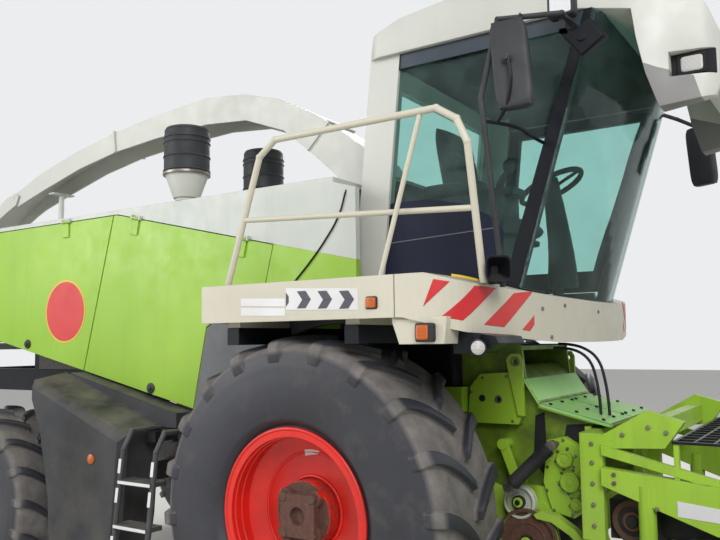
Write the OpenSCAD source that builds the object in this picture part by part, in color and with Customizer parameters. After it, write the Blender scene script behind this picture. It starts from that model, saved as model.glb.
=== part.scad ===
// Self-propelled forage harvester with a mounted maize header.
// X runs forwards, Y to the left, Z up. The ground is z = 0.
// Side views below are lists of [x, z], measured from the front axle.

/* [Wheels] */
// Distance between the axles
wheelbase = 2910; // [2850:10:2950]
// Outer diameter of the front tyres, over the lugs
front_tyre_d = 1790; // [1770:5:1800]
// Width of the front tyres
front_tyre_w = 645; // [620:5:660]
// Rim size of the front wheels at the bead seat
front_rim_d = 810; // [790:5:820]
// Middle of a front wheel from the machine's centre line
front_track_half = 1112; // [1105:1:1120]
// Outer diameter of the rear tyres, over the lugs
rear_tyre_d = 1320; // [1290:5:1340]
// Width of the rear tyres
rear_tyre_w = 480; // [440:5:500]
// Rim size of the rear wheels at the bead seat
rear_rim_d = 610; // [590:5:630]
// Middle of a rear wheel from the machine's centre line
rear_track_half = 1112; // [1105:1:1130]
// Height of the tread lugs
lug_h = 45; // [30:1:55]
// Lugs on each half of a front tread
front_lugs = 20; // [16:1:22]
// Lugs on each half of a rear tread
rear_lugs = 18; // [14:1:20]

/* [Body] */
// Half width of the engine body, over the side doors
body_half = 950; // [930:5:970]
// Wall of the sheet panels with their frames
panel_t = 40; // [30:1:50]
// Height of the deck over the engine
deck_z = 2670; // [2650:5:2700]
// Rear face of the engine body, behind the front axle
tail_x = -4550; // [-4650:10:-4450]
// Half width over the walkways
walkway_half = 1450; // [1430:5:1470]
// Top of the walkways
walkway_z = 2050; // [2035:1:2060]
// Depth of the walkway's side fascia
fascia_h = 195; // [180:1:210]

/* [Cab] */
// Half width of the cab at its posts
cab_half = 810; // [790:1:830]
// Floor of the cab
cab_floor_z = 1950; // [1930:1:1960]
// Seam between the cab posts and the roof
roof_z = 3336; // [3320:1:3350]
// Lean of the front posts and the windscreen
screen_lean = 18.6; // [17:0.1:20]
// Thickness of the cab's glass
glass_t = 12; // [8:1:16]

/* [Spout] */
// Slewing axis of the spout, behind the front axle
turret_x = -300; // [-320:1:-290]
// Half width of the spout's channel
spout_half = 150; // [130:1:165]
// Sheet of the spout
spout_t = 14; // [10:1:18]

/* [Header] */
// Half width of the feed housing
feeder_half = 380; // [370:1:400]
// Half width of the header over its dividers
header_half = 1500; // [1450:10:1500]
// Diameter of the header's gathering rotors
rotor_d = 1400; // [1340:10:1420]
// Lowest point of the header in its carried place
header_clear = 320; // [300:5:340]

/* [Hidden] */
$fn = 48;

header_nose_x = 3300;
spout_end_x = -4776;
front_axle_x = -(spout_end_x + header_nose_x) / 2;
front_hub_z = front_tyre_d / 2;
rear_hub_z = rear_tyre_d / 2;
lime = "yellowgreen";
cream = "lightgoldenrodyellow";
pale = "gainsboro";
dark = "dimgray";
fit = 0.05;
seat_gap = 0.3;

// moves a module from the axle's frame to the middle of the whole machine
module placed() translate([front_axle_x, 0, 0]) children();
// the right side as drawn, and its mirror image on the left
module both_sides() {
  children();
  mirror([0, 1, 0]) children();
}
// a side view [x, z] made into a plate between two values of y
module side_plate(outline, y0, y1)
  translate([0, y1, 0]) rotate([90, 0, 0]) linear_extrude(y1 - y0) polygon(outline);
// a round bar between two points
module bar(a, b, r) {
  d = b - a;
  len = norm(d);
  translate(a) rotate([0, acos(d[2] / len), atan2(d[1], d[0])]) cylinder(r = r, h = len);
}
// a bent tube along a list of points, with a ball in each bend
module tube(points, r) {
  for (i = [0 : len(points) - 2]) bar(points[i], points[i + 1], r);
  for (i = [1 : len(points) - 2]) translate(points[i]) sphere(r = 1.12 * r);
}
// a box from its low corner to its high corner
module block(low, high) translate(low) cube(high - low);

// A hinge along x, outside a wall at y = hinge_out.
// The fixed half is two lugs and a pin, the moving half an eye on a strap.
hinge_pin_r = 6;
hinge_eye_r = 11;
hinge_half = 30;
hinge_out = 12;
sunk = 2;
stand = 0.5;
module hinge_fixed() {
  for (side = [0, 1]) mirror([side, 0, 0]) translate([hinge_half + 4, 0, 0]) {
    translate([0, -8, 0]) cube([12, hinge_out + 8 - stand, 20]);
    translate([0, -8, -8]) cube([12, 15, 9]);
    translate([1, 0, 4]) cube([10, hinge_out + sunk, 15]);
  }
  translate([-hinge_half - 16, 0, 0]) rotate([0, 90, 0]) cylinder(r = hinge_pin_r, h = 2 * hinge_half + 32);
}
module hinge_moving(strap) difference() {
  union() {
    translate([-hinge_half, 0, 0]) rotate([0, 90, 0]) cylinder(r = hinge_eye_r, h = 2 * hinge_half);
    translate([-hinge_half, 2, -strap]) cube([2 * hinge_half, hinge_out - 2 - stand, strap]);
    translate([-hinge_half + 1, 5, -strap + 1]) cube([2 * hinge_half - 2, hinge_out - 5 + sunk, strap - 5]);
  }
  translate([-hinge_half - 5, 0, 0]) rotate([0, 90, 0]) cylinder(r = hinge_pin_r + fit,
    h = 2 * hinge_half + 10);
}

// Wheels. A wheel is drawn about the z axis, with its outer face up.
front_half_w = front_tyre_w / 2;
rear_half_w = rear_tyre_w / 2;
bead_share = 0.81;
carcass_t = 40;
lug_sag = 9;
// half section of a tyre from bead to crown: [radius, offset]
function tyre_side(s, c, h, b) = [
  [s, b - 45], [s, b], [s + 42, b], [s + 0.20 * (c - s), h * 0.95], [s + 0.42 * (c - s), h],
  [s + 0.68 * (c - s), h * 0.985], [c - 42, h * 0.93], [c - 14, h * 0.86], [c, h * 0.72]
];
function tyre_inside(s, c, h, b) = [
  [s, b - 45], [s + 50, b - 40], [s + 0.42 * (c - s), h - carcass_t], [c - 75, h * 0.86], [c - 45, h * 0.70]
];
module lug(crown, top, h) {
  foot = crown - 75;
  lean = 0.27 * h;
  translate([foot, 0, 0]) rotate([90, 0, 90]) linear_extrude(top - foot)
    polygon([[-lean - 30, 10], [-lean + 32, 10], [lean + 36, h * 0.95], [lean - 28, h * 0.95]]);
}
module tyre(d, half_w, rim_d, lugs) {
  crown = d / 2 - lug_h;
  bead = half_w * bead_share;
  outer = tyre_side(rim_d / 2, crown, half_w, bead);
  inner = tyre_inside(rim_d / 2, crown, half_w, bead);
  n = len(outer);
  m = len(inner);
  rotate_extrude($fn = 96) polygon(concat(
    outer, [for (i = [n - 1 : -1 : 0]) [outer[i][0], -outer[i][1]]],
    [for (i = [0 : m - 1]) [inner[i][0], -inner[i][1]]], [for (i = [m - 1 : -1 : 0]) inner[i]]));
  for (i = [0 : lugs - 1]) rotate(i * 360 / lugs) {
    lug(crown, d / 2 - lug_sag, half_w);
    rotate(180 / lugs) mirror([0, 0, 1]) lug(crown, d / 2 - lug_sag, half_w);
  }
}
rim_sheet = 14;
flange_h = 30;
module rim(rim_d, half_w, disc_z, hub_r, bore_r, hub_back, hub_face) {
  s = rim_d / 2;
  b = half_w * bead_share;
  outer = s + flange_h;
  inner = s - rim_sheet;
  rotate_extrude($fn = 96) polygon([
    [0, hub_face], [hub_r, hub_face], [hub_r, disc_z], [s * 0.72, disc_z], [inner, disc_z + 45],
      [inner, b + rim_sheet],
    [outer, b + rim_sheet], [outer, b], [s, b], [s, -b], [outer, -b], [outer, -b - rim_sheet],
      [inner, -b - rim_sheet],
    [inner, disc_z + 20], [s * 0.74, disc_z - 22], [hub_r, disc_z - 22], [hub_r, hub_back],
      [bore_r, hub_back],
    [bore_r, hub_face - 40], [0, hub_face - 40]]);
}
front_spindle_r = 70;
rear_spindle_r = 45;
front_disc = 95;
front_hub_face = 180;
rear_disc = 70;
rear_hub_face = 140;
hub_side = 210;
module front_rim() {
  rim(front_rim_d, front_half_w, front_disc, 165, front_spindle_r + fit, -60, front_hub_face);
  translate([0, 0, front_hub_face - 1]) difference() {
    union() {
      linear_extrude(52) square([hub_side, hub_side], center = true);
      for (a = [45 : 90 : 315]) rotate(a) translate([125, 0, 0]) cylinder(r = 42, h = 36);
    }
    translate([0, 0, 20]) cylinder(r = 45, h = 40);
  }
}
module rear_rim() rim(rear_rim_d, rear_half_w, rear_disc, 110, rear_spindle_r + fit, -50, rear_hub_face);
module at_front() placed() translate([0, -front_track_half, front_hub_z]) rotate([90, 0, 0]) children();
module at_rear() placed() translate([-wheelbase, -rear_track_half, rear_hub_z]) rotate([90, 0, 0])
  children();
module left() mirror([0, 1, 0]) children();
module rim_fr() color("red") at_front() front_rim();
module rim_fl() color("red") left() at_front() front_rim();
module rim_rr() color("red") at_rear() rear_rim();
module rim_rl() color("red") left() at_rear() rear_rim();
module front_tyre() tyre(front_tyre_d, front_half_w, front_rim_d, front_lugs);
module rear_tyre() tyre(rear_tyre_d, rear_half_w, rear_rim_d, rear_lugs);
module tyre_fr() color("darkslategray") at_front() front_tyre();
module tyre_fl() color("darkslategray") left() at_front() front_tyre();
module tyre_rr() color("darkslategray") at_rear() rear_tyre();
module tyre_rl() color("darkslategray") left() at_rear() rear_tyre();

// Axles. The front one drives, the rear one steers on kingpins.
front_beam_r = 130;
module front_axle() color("darkgray") placed() translate([0, 0, front_hub_z]) rotate([90, 0, 0]) {
  translate([0, 0, -700]) cylinder(r = front_beam_r, h = 1400);
  for (end = [0, 1]) mirror([0, 0, end]) {
    translate([0, 0, 600]) cylinder(r = 230, h = 400);
    translate([0, 0, 990]) cylinder(r = front_spindle_r, h = front_track_half + 120 - 990);
  }
}
kingpin_y = 800;
kingpin_r = 25;
knuckle_half = 160;
yoke_t = 35;
yoke_gap = 5;
beam_half = 110;
module rear_axle() color("darkgray") placed() translate([-wheelbase, 0, rear_hub_z]) {
  block([-90, -beam_half, -beam_half], [90, beam_half, beam_half]);
  both_sides() {
    block([-70, -640, -80], [70, 0, 80]);
    block([-70, -640, -knuckle_half - yoke_gap - yoke_t], [70, -560, knuckle_half + yoke_gap + yoke_t]);
    for (up = [0, 1]) mirror([0, 0, up]) translate([0, 0, knuckle_half + yoke_gap]) difference() {
      union() {
        translate([-60, -kingpin_y, 0]) cube([120, kingpin_y - 600, yoke_t]);
        translate([0, -kingpin_y, 0]) cylinder(r = 60, h = yoke_t);
      }
      translate([0, -kingpin_y, -1]) cylinder(r = kingpin_r + fit, h = yoke_t + 2);
    }
  }
}
module knuckle() placed() translate([-wheelbase, -kingpin_y, rear_hub_z]) {
  translate([0, 0, -knuckle_half]) cylinder(r = 55, h = 2 * knuckle_half);
  translate([0, 0, -knuckle_half - yoke_gap - yoke_t]) cylinder(r = kingpin_r,
    h = 2 * (knuckle_half + yoke_gap + yoke_t));
  rotate([90, 0, 0]) cylinder(r = rear_spindle_r, h = rear_track_half - kingpin_y + 80);
}
module knuckle_r() color("darkgray") knuckle();
module knuckle_l() color("darkgray") left() knuckle();

// Frame. Two rails, with side plates at the front that carry axle, chopper and cab.
rail_low = 1380;
rail_high = 1560;
rail_y = 400;
rail_w = 80;
plate_y = 445;
plate_t = 25;
chopper_x = 100;
chopper_z = 1420;
chopper_r = 330;
pivot_r = 40;
beam_w = 80;
beam_low = 1170;
box_beam_x = [-1990, -1460];
box_in_y = 1060;
module chassis_frame() color("darkgray") placed() {
  both_sides() translate([lift_foot[0], -plate_y - 5, lift_foot[1]]) rotate([-90, 0, 0])
    cylinder(r = lift_pin_r, h = plate_y + 5 - lift_y + 30);
  both_sides() translate([chopper_x, -plate_y - plate_t - 35, chopper_z]) rotate([-90, 0, 0])
    cylinder(r = pivot_r, h = 40);
  both_sides() {
    block([tail_x + 120, -rail_y - rail_w, rail_low], [-500, -rail_y, rail_high]);
    difference() {
      side_plate([[-900, 1560], [-500, 1000], [-250, 740], [250, 740], [430, 1000], [430, 1740],
        [300, 1830],
        [-900, 1830]], -plate_y - plate_t, -plate_y);
      translate([0, -plate_y + 5, front_hub_z]) rotate([90, 0, 0])
        cylinder(r = front_beam_r + seat_gap, h = plate_t + 10);
    }
    block([-760, -rail_y - rail_w, rail_low], [-500, -plate_y, rail_high]);
    for (x = [-420, 330]) block([x, -walkway_half + 60, beam_top - 90], [x + 80, -plate_y, beam_top]);
    for (x = box_beam_x) {
      block([x, -box_in_y, beam_low], [x + beam_w, -rail_y, beam_low + beam_w]);
      block([x, -rail_y - rail_w, beam_low], [x + beam_w, -rail_y, rail_low]);
    }
    for (x = step_x) {
      block([x - beam_w / 2, -1200, beam_low], [x + beam_w / 2, -rail_y, step_top - step_r - seat_gap]);
      block([x - beam_w / 2, -rail_y - rail_w, beam_low], [x + beam_w / 2, -rail_y, rail_low]);
    }
    for (x = [100, 340]) block([x, -plate_y - plate_t, chopper_z + chopper_r + 5],
      [x + beam_w, -plate_y + 40, cab_floor_z - seat_gap]);
    for (x = [tail_x + 150, -3440]) block([x, -rail_y - rail_w, rail_high], [x + beam_w, -rail_y, 1720]);
  }
  for (x = [tail_x + 120, -3500, -2060, -1000]) block([x, -rail_y - 10, rail_low],
    [x + 80, rail_y + 10, rail_high]);
  for (x = [-wheelbase - 90 - 25, -wheelbase + 90])
    block([x, -180, rear_hub_z - 90], [x + 25, 180, rail_low + 20]);
  for (x = [-wheelbase - 90 - 25, -wheelbase + 90])
    block([x, -rail_y - 10, rail_low], [x + 25, rail_y + 10, rail_low + 120]);
}
module engine_block() color("slategray") placed() block([-3350, -500, rail_high], [-2450, 500, 2350]);

// Engine body. Its long sides are doors, apart from the wedge above them.
door_break = -1889;
door_front = -475;
door_lean = 0.265;
door_top_front = 2321;
door_low_rear = 1790;
door_low_front = 1344;
door_foot_x = -1070;
wall_rear_z = 1750;
gap = 6;
function door_low(x) = door_low_front + (door_low_rear - door_low_front) * (door_foot_x - x) / (door_foot_x + 3190);
body_front = -40;
side_front = 110;
arch_clear = 60;
door_bend = [-1009, 1852];
door_foot = [-1117, 1350];
door_head = deck_z - 36;
door_slope = (door_head - door_top_front) / (door_front - door_break - 40);
function fore_top(x) = door_top_front + (door_front - x) * door_slope;
hinge_x_rear = [-4200, -3300, -2400];
hinge_x_fore = [-1650, -700];
strap_h = 110;
module at_rear_hinge(x) translate([x, -body_half - hinge_out, door_head + gap / 2]) children();
module at_fore_hinge(x) translate([x, -body_half - hinge_out, fore_top(x) + gap / 2])
  rotate([0, atan(door_slope), 0]) children();
grille_pin = [tail_x - 22, body_half - 8];
grille_hinge_z = [1950, 2500];
grille_eye_h = 50;
module upper_body() color(pale) placed() {
  difference() {
    block([tail_x, -body_half, deck_z - 30], [body_front, body_half, deck_z]);
    translate([turret_x, 0, deck_z - 40]) cylinder(r = 250, h = 50);
  }
  both_sides() {
    side_plate([[door_break + 40, deck_z - 30], [body_front, deck_z - 30], [side_front, deck_z - 75],
      [side_front, fore_top(side_front) + gap]], -body_half, -body_half + panel_t);
    for (x = hinge_x_rear) at_rear_hinge(x) hinge_fixed();
    for (x = hinge_x_fore) at_fore_hinge(x) hinge_fixed();
    block([tail_x, -body_half, wall_rear_z], [tail_x + 120, -body_half + 60, deck_z - 30]);
    block([tail_x + 120, -rail_y - rail_w, 1720], [tail_x + 320, -rail_y, 1760]);
  }
  for (z = grille_hinge_z) translate([grille_pin[0], grille_pin[1], z]) {
    for (up = [0, 1]) mirror([0, 0, up]) translate([-7, -7, grille_eye_h / 2 + 3]) cube([29, 14, 12]);
    translate([0, 0, -grille_eye_h / 2 - 15]) cylinder(r = 5, h = grille_eye_h + 30);
  }
  translate([rest_x, 0, deck_z - 10]) cylinder(r = 25, h = rest_z - deck_z);
  block([rest_x - 40, -110, rest_z - 12], [rest_x + 40, 110, rest_z]);
  block([-700, -body_half + panel_t, 2560], [-660, body_half - panel_t, deck_z - 30]);
  block([tail_x, -body_half + 60, 1720], [tail_x + 120, body_half - 60, 1780]);
}
module door_rear() {
  side_plate([[tail_x + 125, door_head], [door_break - gap, door_head],
    [door_break - gap - door_lean * (deck_z - door_low(-2175)), door_low(-2175)],
    [tail_x + 125, door_low(tail_x + 125)]], -body_half, -body_half + panel_t);
  for (x = hinge_x_rear) at_rear_hinge(x) hinge_moving(strap_h);
}
module door_fore() {
  side_plate([[door_break + gap, door_head], [door_break + 40, door_head], [door_front, door_top_front],
    [seam_x, walkway_z + 25], [seam_x - 60, walkway_z + 25], door_bend, door_foot,
      [door_break + gap - door_lean * (deck_z - door_low(-2165)), door_low(-2165)]],
    -body_half, -body_half + panel_t);
  for (x = hinge_x_fore) at_fore_hinge(x) hinge_moving(strap_h);
}
// lime panels fixed over the walkways, and the dark walls of the wheel arches under them
seam_x = door_front - door_lean * (door_top_front - walkway_z - 25);
module fixed_panels() color(lime) placed() both_sides()
  side_plate([[seam_x + gap, walkway_z - 60], [seam_x + gap, walkway_z + 25],
    [door_front + gap, fore_top(door_front + gap) + gap],
    [side_front, fore_top(side_front) + gap], [side_front, walkway_z - 60]], -body_half,
      -body_half + panel_t);
module arch_panels() color(dark) placed() both_sides() difference() {
  side_plate([[door_foot[0] + gap, door_foot[1] - 60], [door_foot[0] + gap, door_foot[1]],
    [door_bend[0] + gap, door_bend[1] - gap],
    [-735, walkway_z - 60], [side_front, walkway_z - 60], [side_front, door_foot[1] - 60]], -body_half,
      -body_half + panel_t);
  translate([0, -body_half - 1, front_hub_z]) rotate([-90, 0, 0])
    cylinder(r = front_tyre_d / 2 + arch_clear, h = panel_t + 2, $fn = 96);
  block([-420 - seat_gap, -body_half - 1, beam_top - 130], [-340 + seat_gap, -body_half + panel_t + 1,
    beam_top + seat_gap]);
}
module side_door_fr() color(lime) placed() door_fore();
module side_door_rr() color(lime) placed() door_rear();
module side_door_fl() color(lime) placed() left() door_fore();
module side_door_rl() color(lime) placed() left() door_rear();
module rear_grille() color(dark) placed() {
  translate([tail_x - 8, 0, 0]) rotate([90, 0, -90]) linear_extrude(40) difference() {
    translate([-body_half + 20, 1790]) square([2 * body_half - 40, deck_z - 1810]);
    for (i = [-4 : 4], k = [0 : 9]) translate([i * 195 - 80, 1840 + k * 78]) square([160, 40]);
  }
  for (z = grille_hinge_z) translate([grille_pin[0], grille_pin[1], z - grille_eye_h / 2]) difference() {
    union() {
      cylinder(r = 8, h = grille_eye_h);
      translate([-5, -17, 0]) cube([10, 17, grille_eye_h]);
    }
    translate([0, 0, -1]) cylinder(r = 5 + fit, h = grille_eye_h + 2);
  }
}

// Walkways and the fascia under the windscreen
walk_rear = -550;
walk_front = 640;
walk_in = body_half + 10;
beam_top = 1830;
module walkways() color(cream) placed() both_sides() {
  block([walk_rear, -walkway_half, walkway_z - fascia_h], [walk_front, -walkway_half + 30, walkway_z]);
  block([walk_rear, -walkway_half, walkway_z - 40], [walk_front, -walk_in, walkway_z]);
  block([side_front + gap, -walk_in - 1, walkway_z - 40], [walk_front, -cab_half - 10, walkway_z]);
  block([walk_rear, -walkway_half, walkway_z - fascia_h], [walk_rear + 30, -walk_in, walkway_z]);
  for (x = [-420, 330]) block([x, -walkway_half + 70, beam_top], [x + 80, -walk_in - 5, walkway_z - 40]);
}
// plan of the fascia, seen from above: a straight side and one arc across the front
nose_x = 1120;
nose_r = 4800;
corner_r = 220;
sheet = 8;
deck_bend = 790;
deck_fall = 0.28;
function deck_at(x) = x < deck_bend ? walkway_z : walkway_z - (x - deck_bend) * deck_fall;
function nose_arc(a) = [nose_x - nose_r * (1 - cos(a)), nose_r * sin(a)];
side_turn = asin((walkway_half - corner_r) / (nose_r - corner_r));
nose_plan = concat([[walk_front + 6, -walkway_half]],
  [for (i = [0 : 8]) let (a = -90 + i * (90 - side_turn) / 8)
    [nose_x - nose_r + (nose_r - corner_r) * cos(side_turn) + corner_r * cos(a),
      -(nose_r - corner_r) * sin(side_turn) + corner_r * sin(a)]],
  [for (i = [-5 : 5]) nose_arc(i * side_turn / 5)],
  [for (i = [0 : 8]) let (a = side_turn + i * (90 - side_turn) / 8)
    [nose_x - nose_r + (nose_r - corner_r) * cos(side_turn) + corner_r * cos(a),
      (nose_r - corner_r) * sin(side_turn) + corner_r * sin(a)]],
  [[walk_front + 6, walkway_half]]);
nose_end = 1250;
fascia_low = [[600, walkway_z - fascia_h], [680, walkway_z - fascia_h], [853, 1811], [1085, 1735],
  [nose_end, 1716]];
lamp_box = [[655, -1432, 1735], [880, -1290, 1845]];
lamp_x = 790;
module front_fascia() color(cream) placed() {
  intersection() {
    translate([0, 0, 1700]) linear_extrude(360) difference() {
      polygon(nose_plan);
      offset(delta = -30) polygon(concat([[walk_front - 100, -walkway_half]], nose_plan,
        [[walk_front - 100, walkway_half]]));
    }
    side_plate(concat(fascia_low, [[nose_end, deck_at(nose_end)], [deck_bend, walkway_z],
      [600, walkway_z]]),
      -walkway_half - 50, walkway_half + 50);
  }
  intersection() {
    translate([0, 0, 1700]) linear_extrude(360) difference() {
      offset(delta = -10) polygon(nose_plan);
      polygon(concat([[500, -cab_half - 10]],
        [for (i = [-6 : 6]) [screen_x + glass_foot + 30 + screen_sag * (1 - i * i / 36),
          i * (cab_half + 10) / 6]], [[500, cab_half + 10]]));
    }
    side_plate([[600, walkway_z - sheet], [deck_bend, walkway_z - sheet],
      [nose_end, deck_at(nose_end) - sheet],
      [nose_end, deck_at(nose_end)], [deck_bend, walkway_z], [600, walkway_z]], -walkway_half - 50,
        walkway_half + 50);
  }
  both_sides() {
    block([walk_front - 80, -walkway_half + 40, 1960], [walk_front + 60, -1000, walkway_z - 40 - seat_gap]);
    block([walk_front + 10, -walkway_half + 20, 1960], [walk_front + 60, -walkway_half + 50,
      walkway_z - 40 - seat_gap]);
    difference() {
      hull() {
        block(lamp_box[0], lamp_box[1]);
        block([lamp_box[0][0] - 40, lamp_box[0][1] + 8, lamp_box[1][2] - 10],
          [lamp_box[1][0] + 10, lamp_box[1][1] + 20, lamp_box[1][2] + 10]);
      }
      translate([lamp_x, lamp_box[0][1] - 1, 1787]) rotate([-90, 0, 0]) scale([1, 0.8, 1])
        cylinder(r = 38 + seat_gap, h = 20);
    }
  }
}

// Cab. A pale shell behind, a dark frame in front, glass between.
post_rear_x = -14;
rear_lean = 0.108;
screen_x = 930;
glass_foot = 30;
glass_turn = 1.2;
glass_low = 52;
glass_seat = 14.4;
screen_sag = 130;
lean_t = tan(screen_lean);
post_w = 190;
wall = 60;
function rear_x(z) = post_rear_x + rear_lean * (z - cab_floor_z);
function front_x(z) = screen_x + lean_t * (z - cab_floor_z);
cab_hinge_z = [2330, 3030];
module at_cab_hinge(z) translate([rear_x(z) + post_w + 4, cab_half + hinge_out, z])
  rotate([0, atan(rear_lean), 0]) children();
module cab_shell() color(cream) placed() {
  for (z = cab_hinge_z) at_cab_hinge(z) {
    for (up = [0, 1]) mirror([0, 0, up]) {
      translate([-24, -hinge_out + stand, 22]) cube([26, hinge_out + 6 - stand, 12]);
      translate([-23, -hinge_out - sunk, 23]) cube([12, hinge_out + sunk, 10]);
    }
    translate([0, 0, -34]) cylinder(r = hinge_pin_r, h = 68);
  }
  both_sides() side_plate([[rear_x(cab_floor_z), cab_floor_z], [rear_x(roof_z), roof_z],
    [rear_x(roof_z) + post_w, roof_z],
    [rear_x(cab_floor_z) + post_w, cab_floor_z]], -cab_half, -cab_half + wall);
  difference() {
    side_plate([[rear_x(cab_floor_z), cab_floor_z], [rear_x(roof_z), roof_z], [rear_x(roof_z) + 50, roof_z],
      [rear_x(cab_floor_z) + 50, cab_floor_z]], -cab_half + wall, cab_half - wall);
    block([-100, -cab_half + 150, 2720], [400, cab_half - 150, 3230]);
  }
}
sill_z = 2080;
module cab_frame() color("dimgray") placed() {
  both_sides() {
    side_plate([[front_x(cab_floor_z) - 55, cab_floor_z], [front_x(roof_z) - 55, roof_z],
      [front_x(roof_z), roof_z],
      [front_x(cab_floor_z) + glass_foot, cab_floor_z]], -cab_half, -cab_half + wall);
    side_plate([[rear_x(3250) + post_w, 3250], [rear_x(roof_z) + post_w, roof_z],
      [front_x(roof_z) - 50, roof_z],
      [front_x(3250) - 50, 3250]], -cab_half, -cab_half + wall);
  }
  side_plate([[rear_x(cab_floor_z) + post_w, cab_floor_z], [rear_x(sill_z) + post_w, sill_z],
    [front_x(sill_z) - 50, sill_z],
      [front_x(cab_floor_z) - 50, cab_floor_z]], -cab_half, -cab_half + wall);
  side_plate([[rear_x(cab_floor_z) + post_w, cab_floor_z], [rear_x(walkway_z + 4) + post_w, walkway_z + 4],
    [front_x(cab_floor_z) - 50, walkway_z + 4], [front_x(cab_floor_z) - 50, cab_floor_z]],
      cab_half - wall, cab_half);
  block([rear_x(cab_floor_z + 50) + 50 + seat_gap, -cab_half + wall, cab_floor_z],
    [front_x(cab_floor_z) - 10, cab_half - wall, cab_floor_z + 50]);
}
roof_half = cab_half + 30;
roof_side = [[127, roof_z], [167, 3468], [345, 3530], [874, 3591], [1383, 3601], [1700, 3500],
  [1860, 3330], [1915, 3180],
  [1925, 3000], [1880, 2880], [1640, 2850], [1590, 3020], [1560, 3190], [1545, roof_z]];
roof_plan = [[100, roof_half], [1330, roof_half], [1640, 620], [1900, 560], [1945, 300]];
// recesses for the work lamps in the visor, the outer ones open to the sides: low and high corner on the right
lamp_wells = [[[1690, -700, 2990], [1890, -520, 3110]], [[1810, -330, 3000], [2000, -90, 3110]]];
module cab_roof() color(cream) placed() difference() {
  intersection() {
    side_plate(roof_side, -roof_half, roof_half);
    translate([0, 0, 2800]) linear_extrude(900) offset(r = 120) offset(delta = -120)
      polygon(concat([for (p = roof_plan) [p[0], -p[1]]], reversed(roof_plan)));
  }
  block([220, -roof_half + 80, roof_z - 10], [1400, roof_half - 80, 3460]);
  for (w = lamp_wells) both_sides() block(w[0], w[1]);
}
module work_lamps() color("white") placed() both_sides() {
  block([1715, -545, 3005], [1865, -520 - seat_gap, 3095]);
  block([1810 + seat_gap, -315, 3015], [1835, -105, 3095]);
}
module arc_sheet(chord_half, sag, t) {
  r = (chord_half * chord_half + sag * sag) / (2 * sag);
  a = asin(chord_half / r);
  n = 12;
  polygon(concat([for (i = [-n : n]) [sag - r + r * cos(a * i / n), r * sin(a * i / n)]],
    [for (i = [n : -1 : -n]) [sag - r + (r - t) * cos(a * i / n), (r - t) * sin(a * i / n)]]));
}

module cab_glass() color([0.5, 0.7, 0.7, 0.5]) placed() {
  translate([screen_x + glass_seat + glass_foot + glass_low * tan(screen_lean - glass_turn), 0,
    cab_floor_z + glass_low])
    rotate([0, screen_lean - glass_turn, 0])
    linear_extrude((roof_z - 5 - cab_floor_z - glass_low) / cos(screen_lean - glass_turn))
      arc_sheet(cab_half, screen_sag, glass_t);
  side_plate([[rear_x(sill_z) + post_w + seat_gap, sill_z + seat_gap],
    [rear_x(3250) + post_w + seat_gap, 3250 - seat_gap],
    [front_x(3250) - 55 - seat_gap, 3250 - seat_gap], [front_x(sill_z) - 55 - seat_gap, sill_z + seat_gap]],
    -cab_half + 20, -cab_half + 20 + glass_t);
  side_plate([[rear_x(2720) + 20, 2720 + seat_gap], [rear_x(3230) + 20, 3230 - seat_gap],
    [rear_x(3230) + 20 + glass_t, 3230 - seat_gap],
    [rear_x(2720) + 20 + glass_t, 2720 + seat_gap]], -cab_half + 150 + seat_gap, cab_half - 150 - seat_gap);
}
door_in = 8;
function cab_door_side(in, low) = [[rear_x(low) + post_w + in, low],
  [rear_x(3250) + post_w + in, 3250 - in],
  [front_x(3250) - 55 - in, 3250 - in], [front_x(low) - 55 - in, low]];
module cab_door() color("dimgray") placed() {
  difference() {
    side_plate(cab_door_side(door_in, walkway_z + 10), cab_half - 50, cab_half);
    side_plate(cab_door_side(door_in + 70, 2200), cab_half - 60, cab_half + 10);
  }
  for (z = cab_hinge_z) at_cab_hinge(z) difference() {
    union() {
      translate([0, 0, -18]) cylinder(r = hinge_eye_r, h = 36);
      translate([2, -hinge_out + stand, -18]) cube([56, hinge_out - 2 - stand, 36]);
      translate([12, -hinge_out - sunk, -17]) cube([45, hinge_out + sunk - 3, 34]);
    }
    translate([0, 0, -20]) cylinder(r = hinge_pin_r + fit, h = 40);
  }
}
module door_glass() color([0.5, 0.7, 0.7, 0.5]) placed()
  side_plate(cab_door_side(door_in + 70, 2200), cab_half - 30, cab_half - 30 + glass_t);
module seat() color("dimgray") placed() {
  block([350, -150, cab_floor_z + 50], [600, 150, cab_floor_z + 350]);
  block([280, -240, cab_floor_z + 350], [760, 240, cab_floor_z + 480]);
  side_plate([[280, cab_floor_z + 480], [180, cab_floor_z + 1080], [290, cab_floor_z + 1080],
    [400, cab_floor_z + 480]], -230, 230);
}
module controls() color("dimgray") placed() {
  bar([900, 0, cab_floor_z + 51.3], [880, 0, cab_floor_z + 700], 32);
  translate([880, 0, cab_floor_z + 700]) rotate([0, -25, 0]) {
    rotate_extrude() translate([190, 0]) circle(r = 16);
    for (a = [0, 120, 240]) rotate(a) bar([0, 0, -10], [188, 0, 0], 10);
  }
  block([300, -560, cab_floor_z + 50], [800, -320, cab_floor_z + 600]);
}

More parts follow.
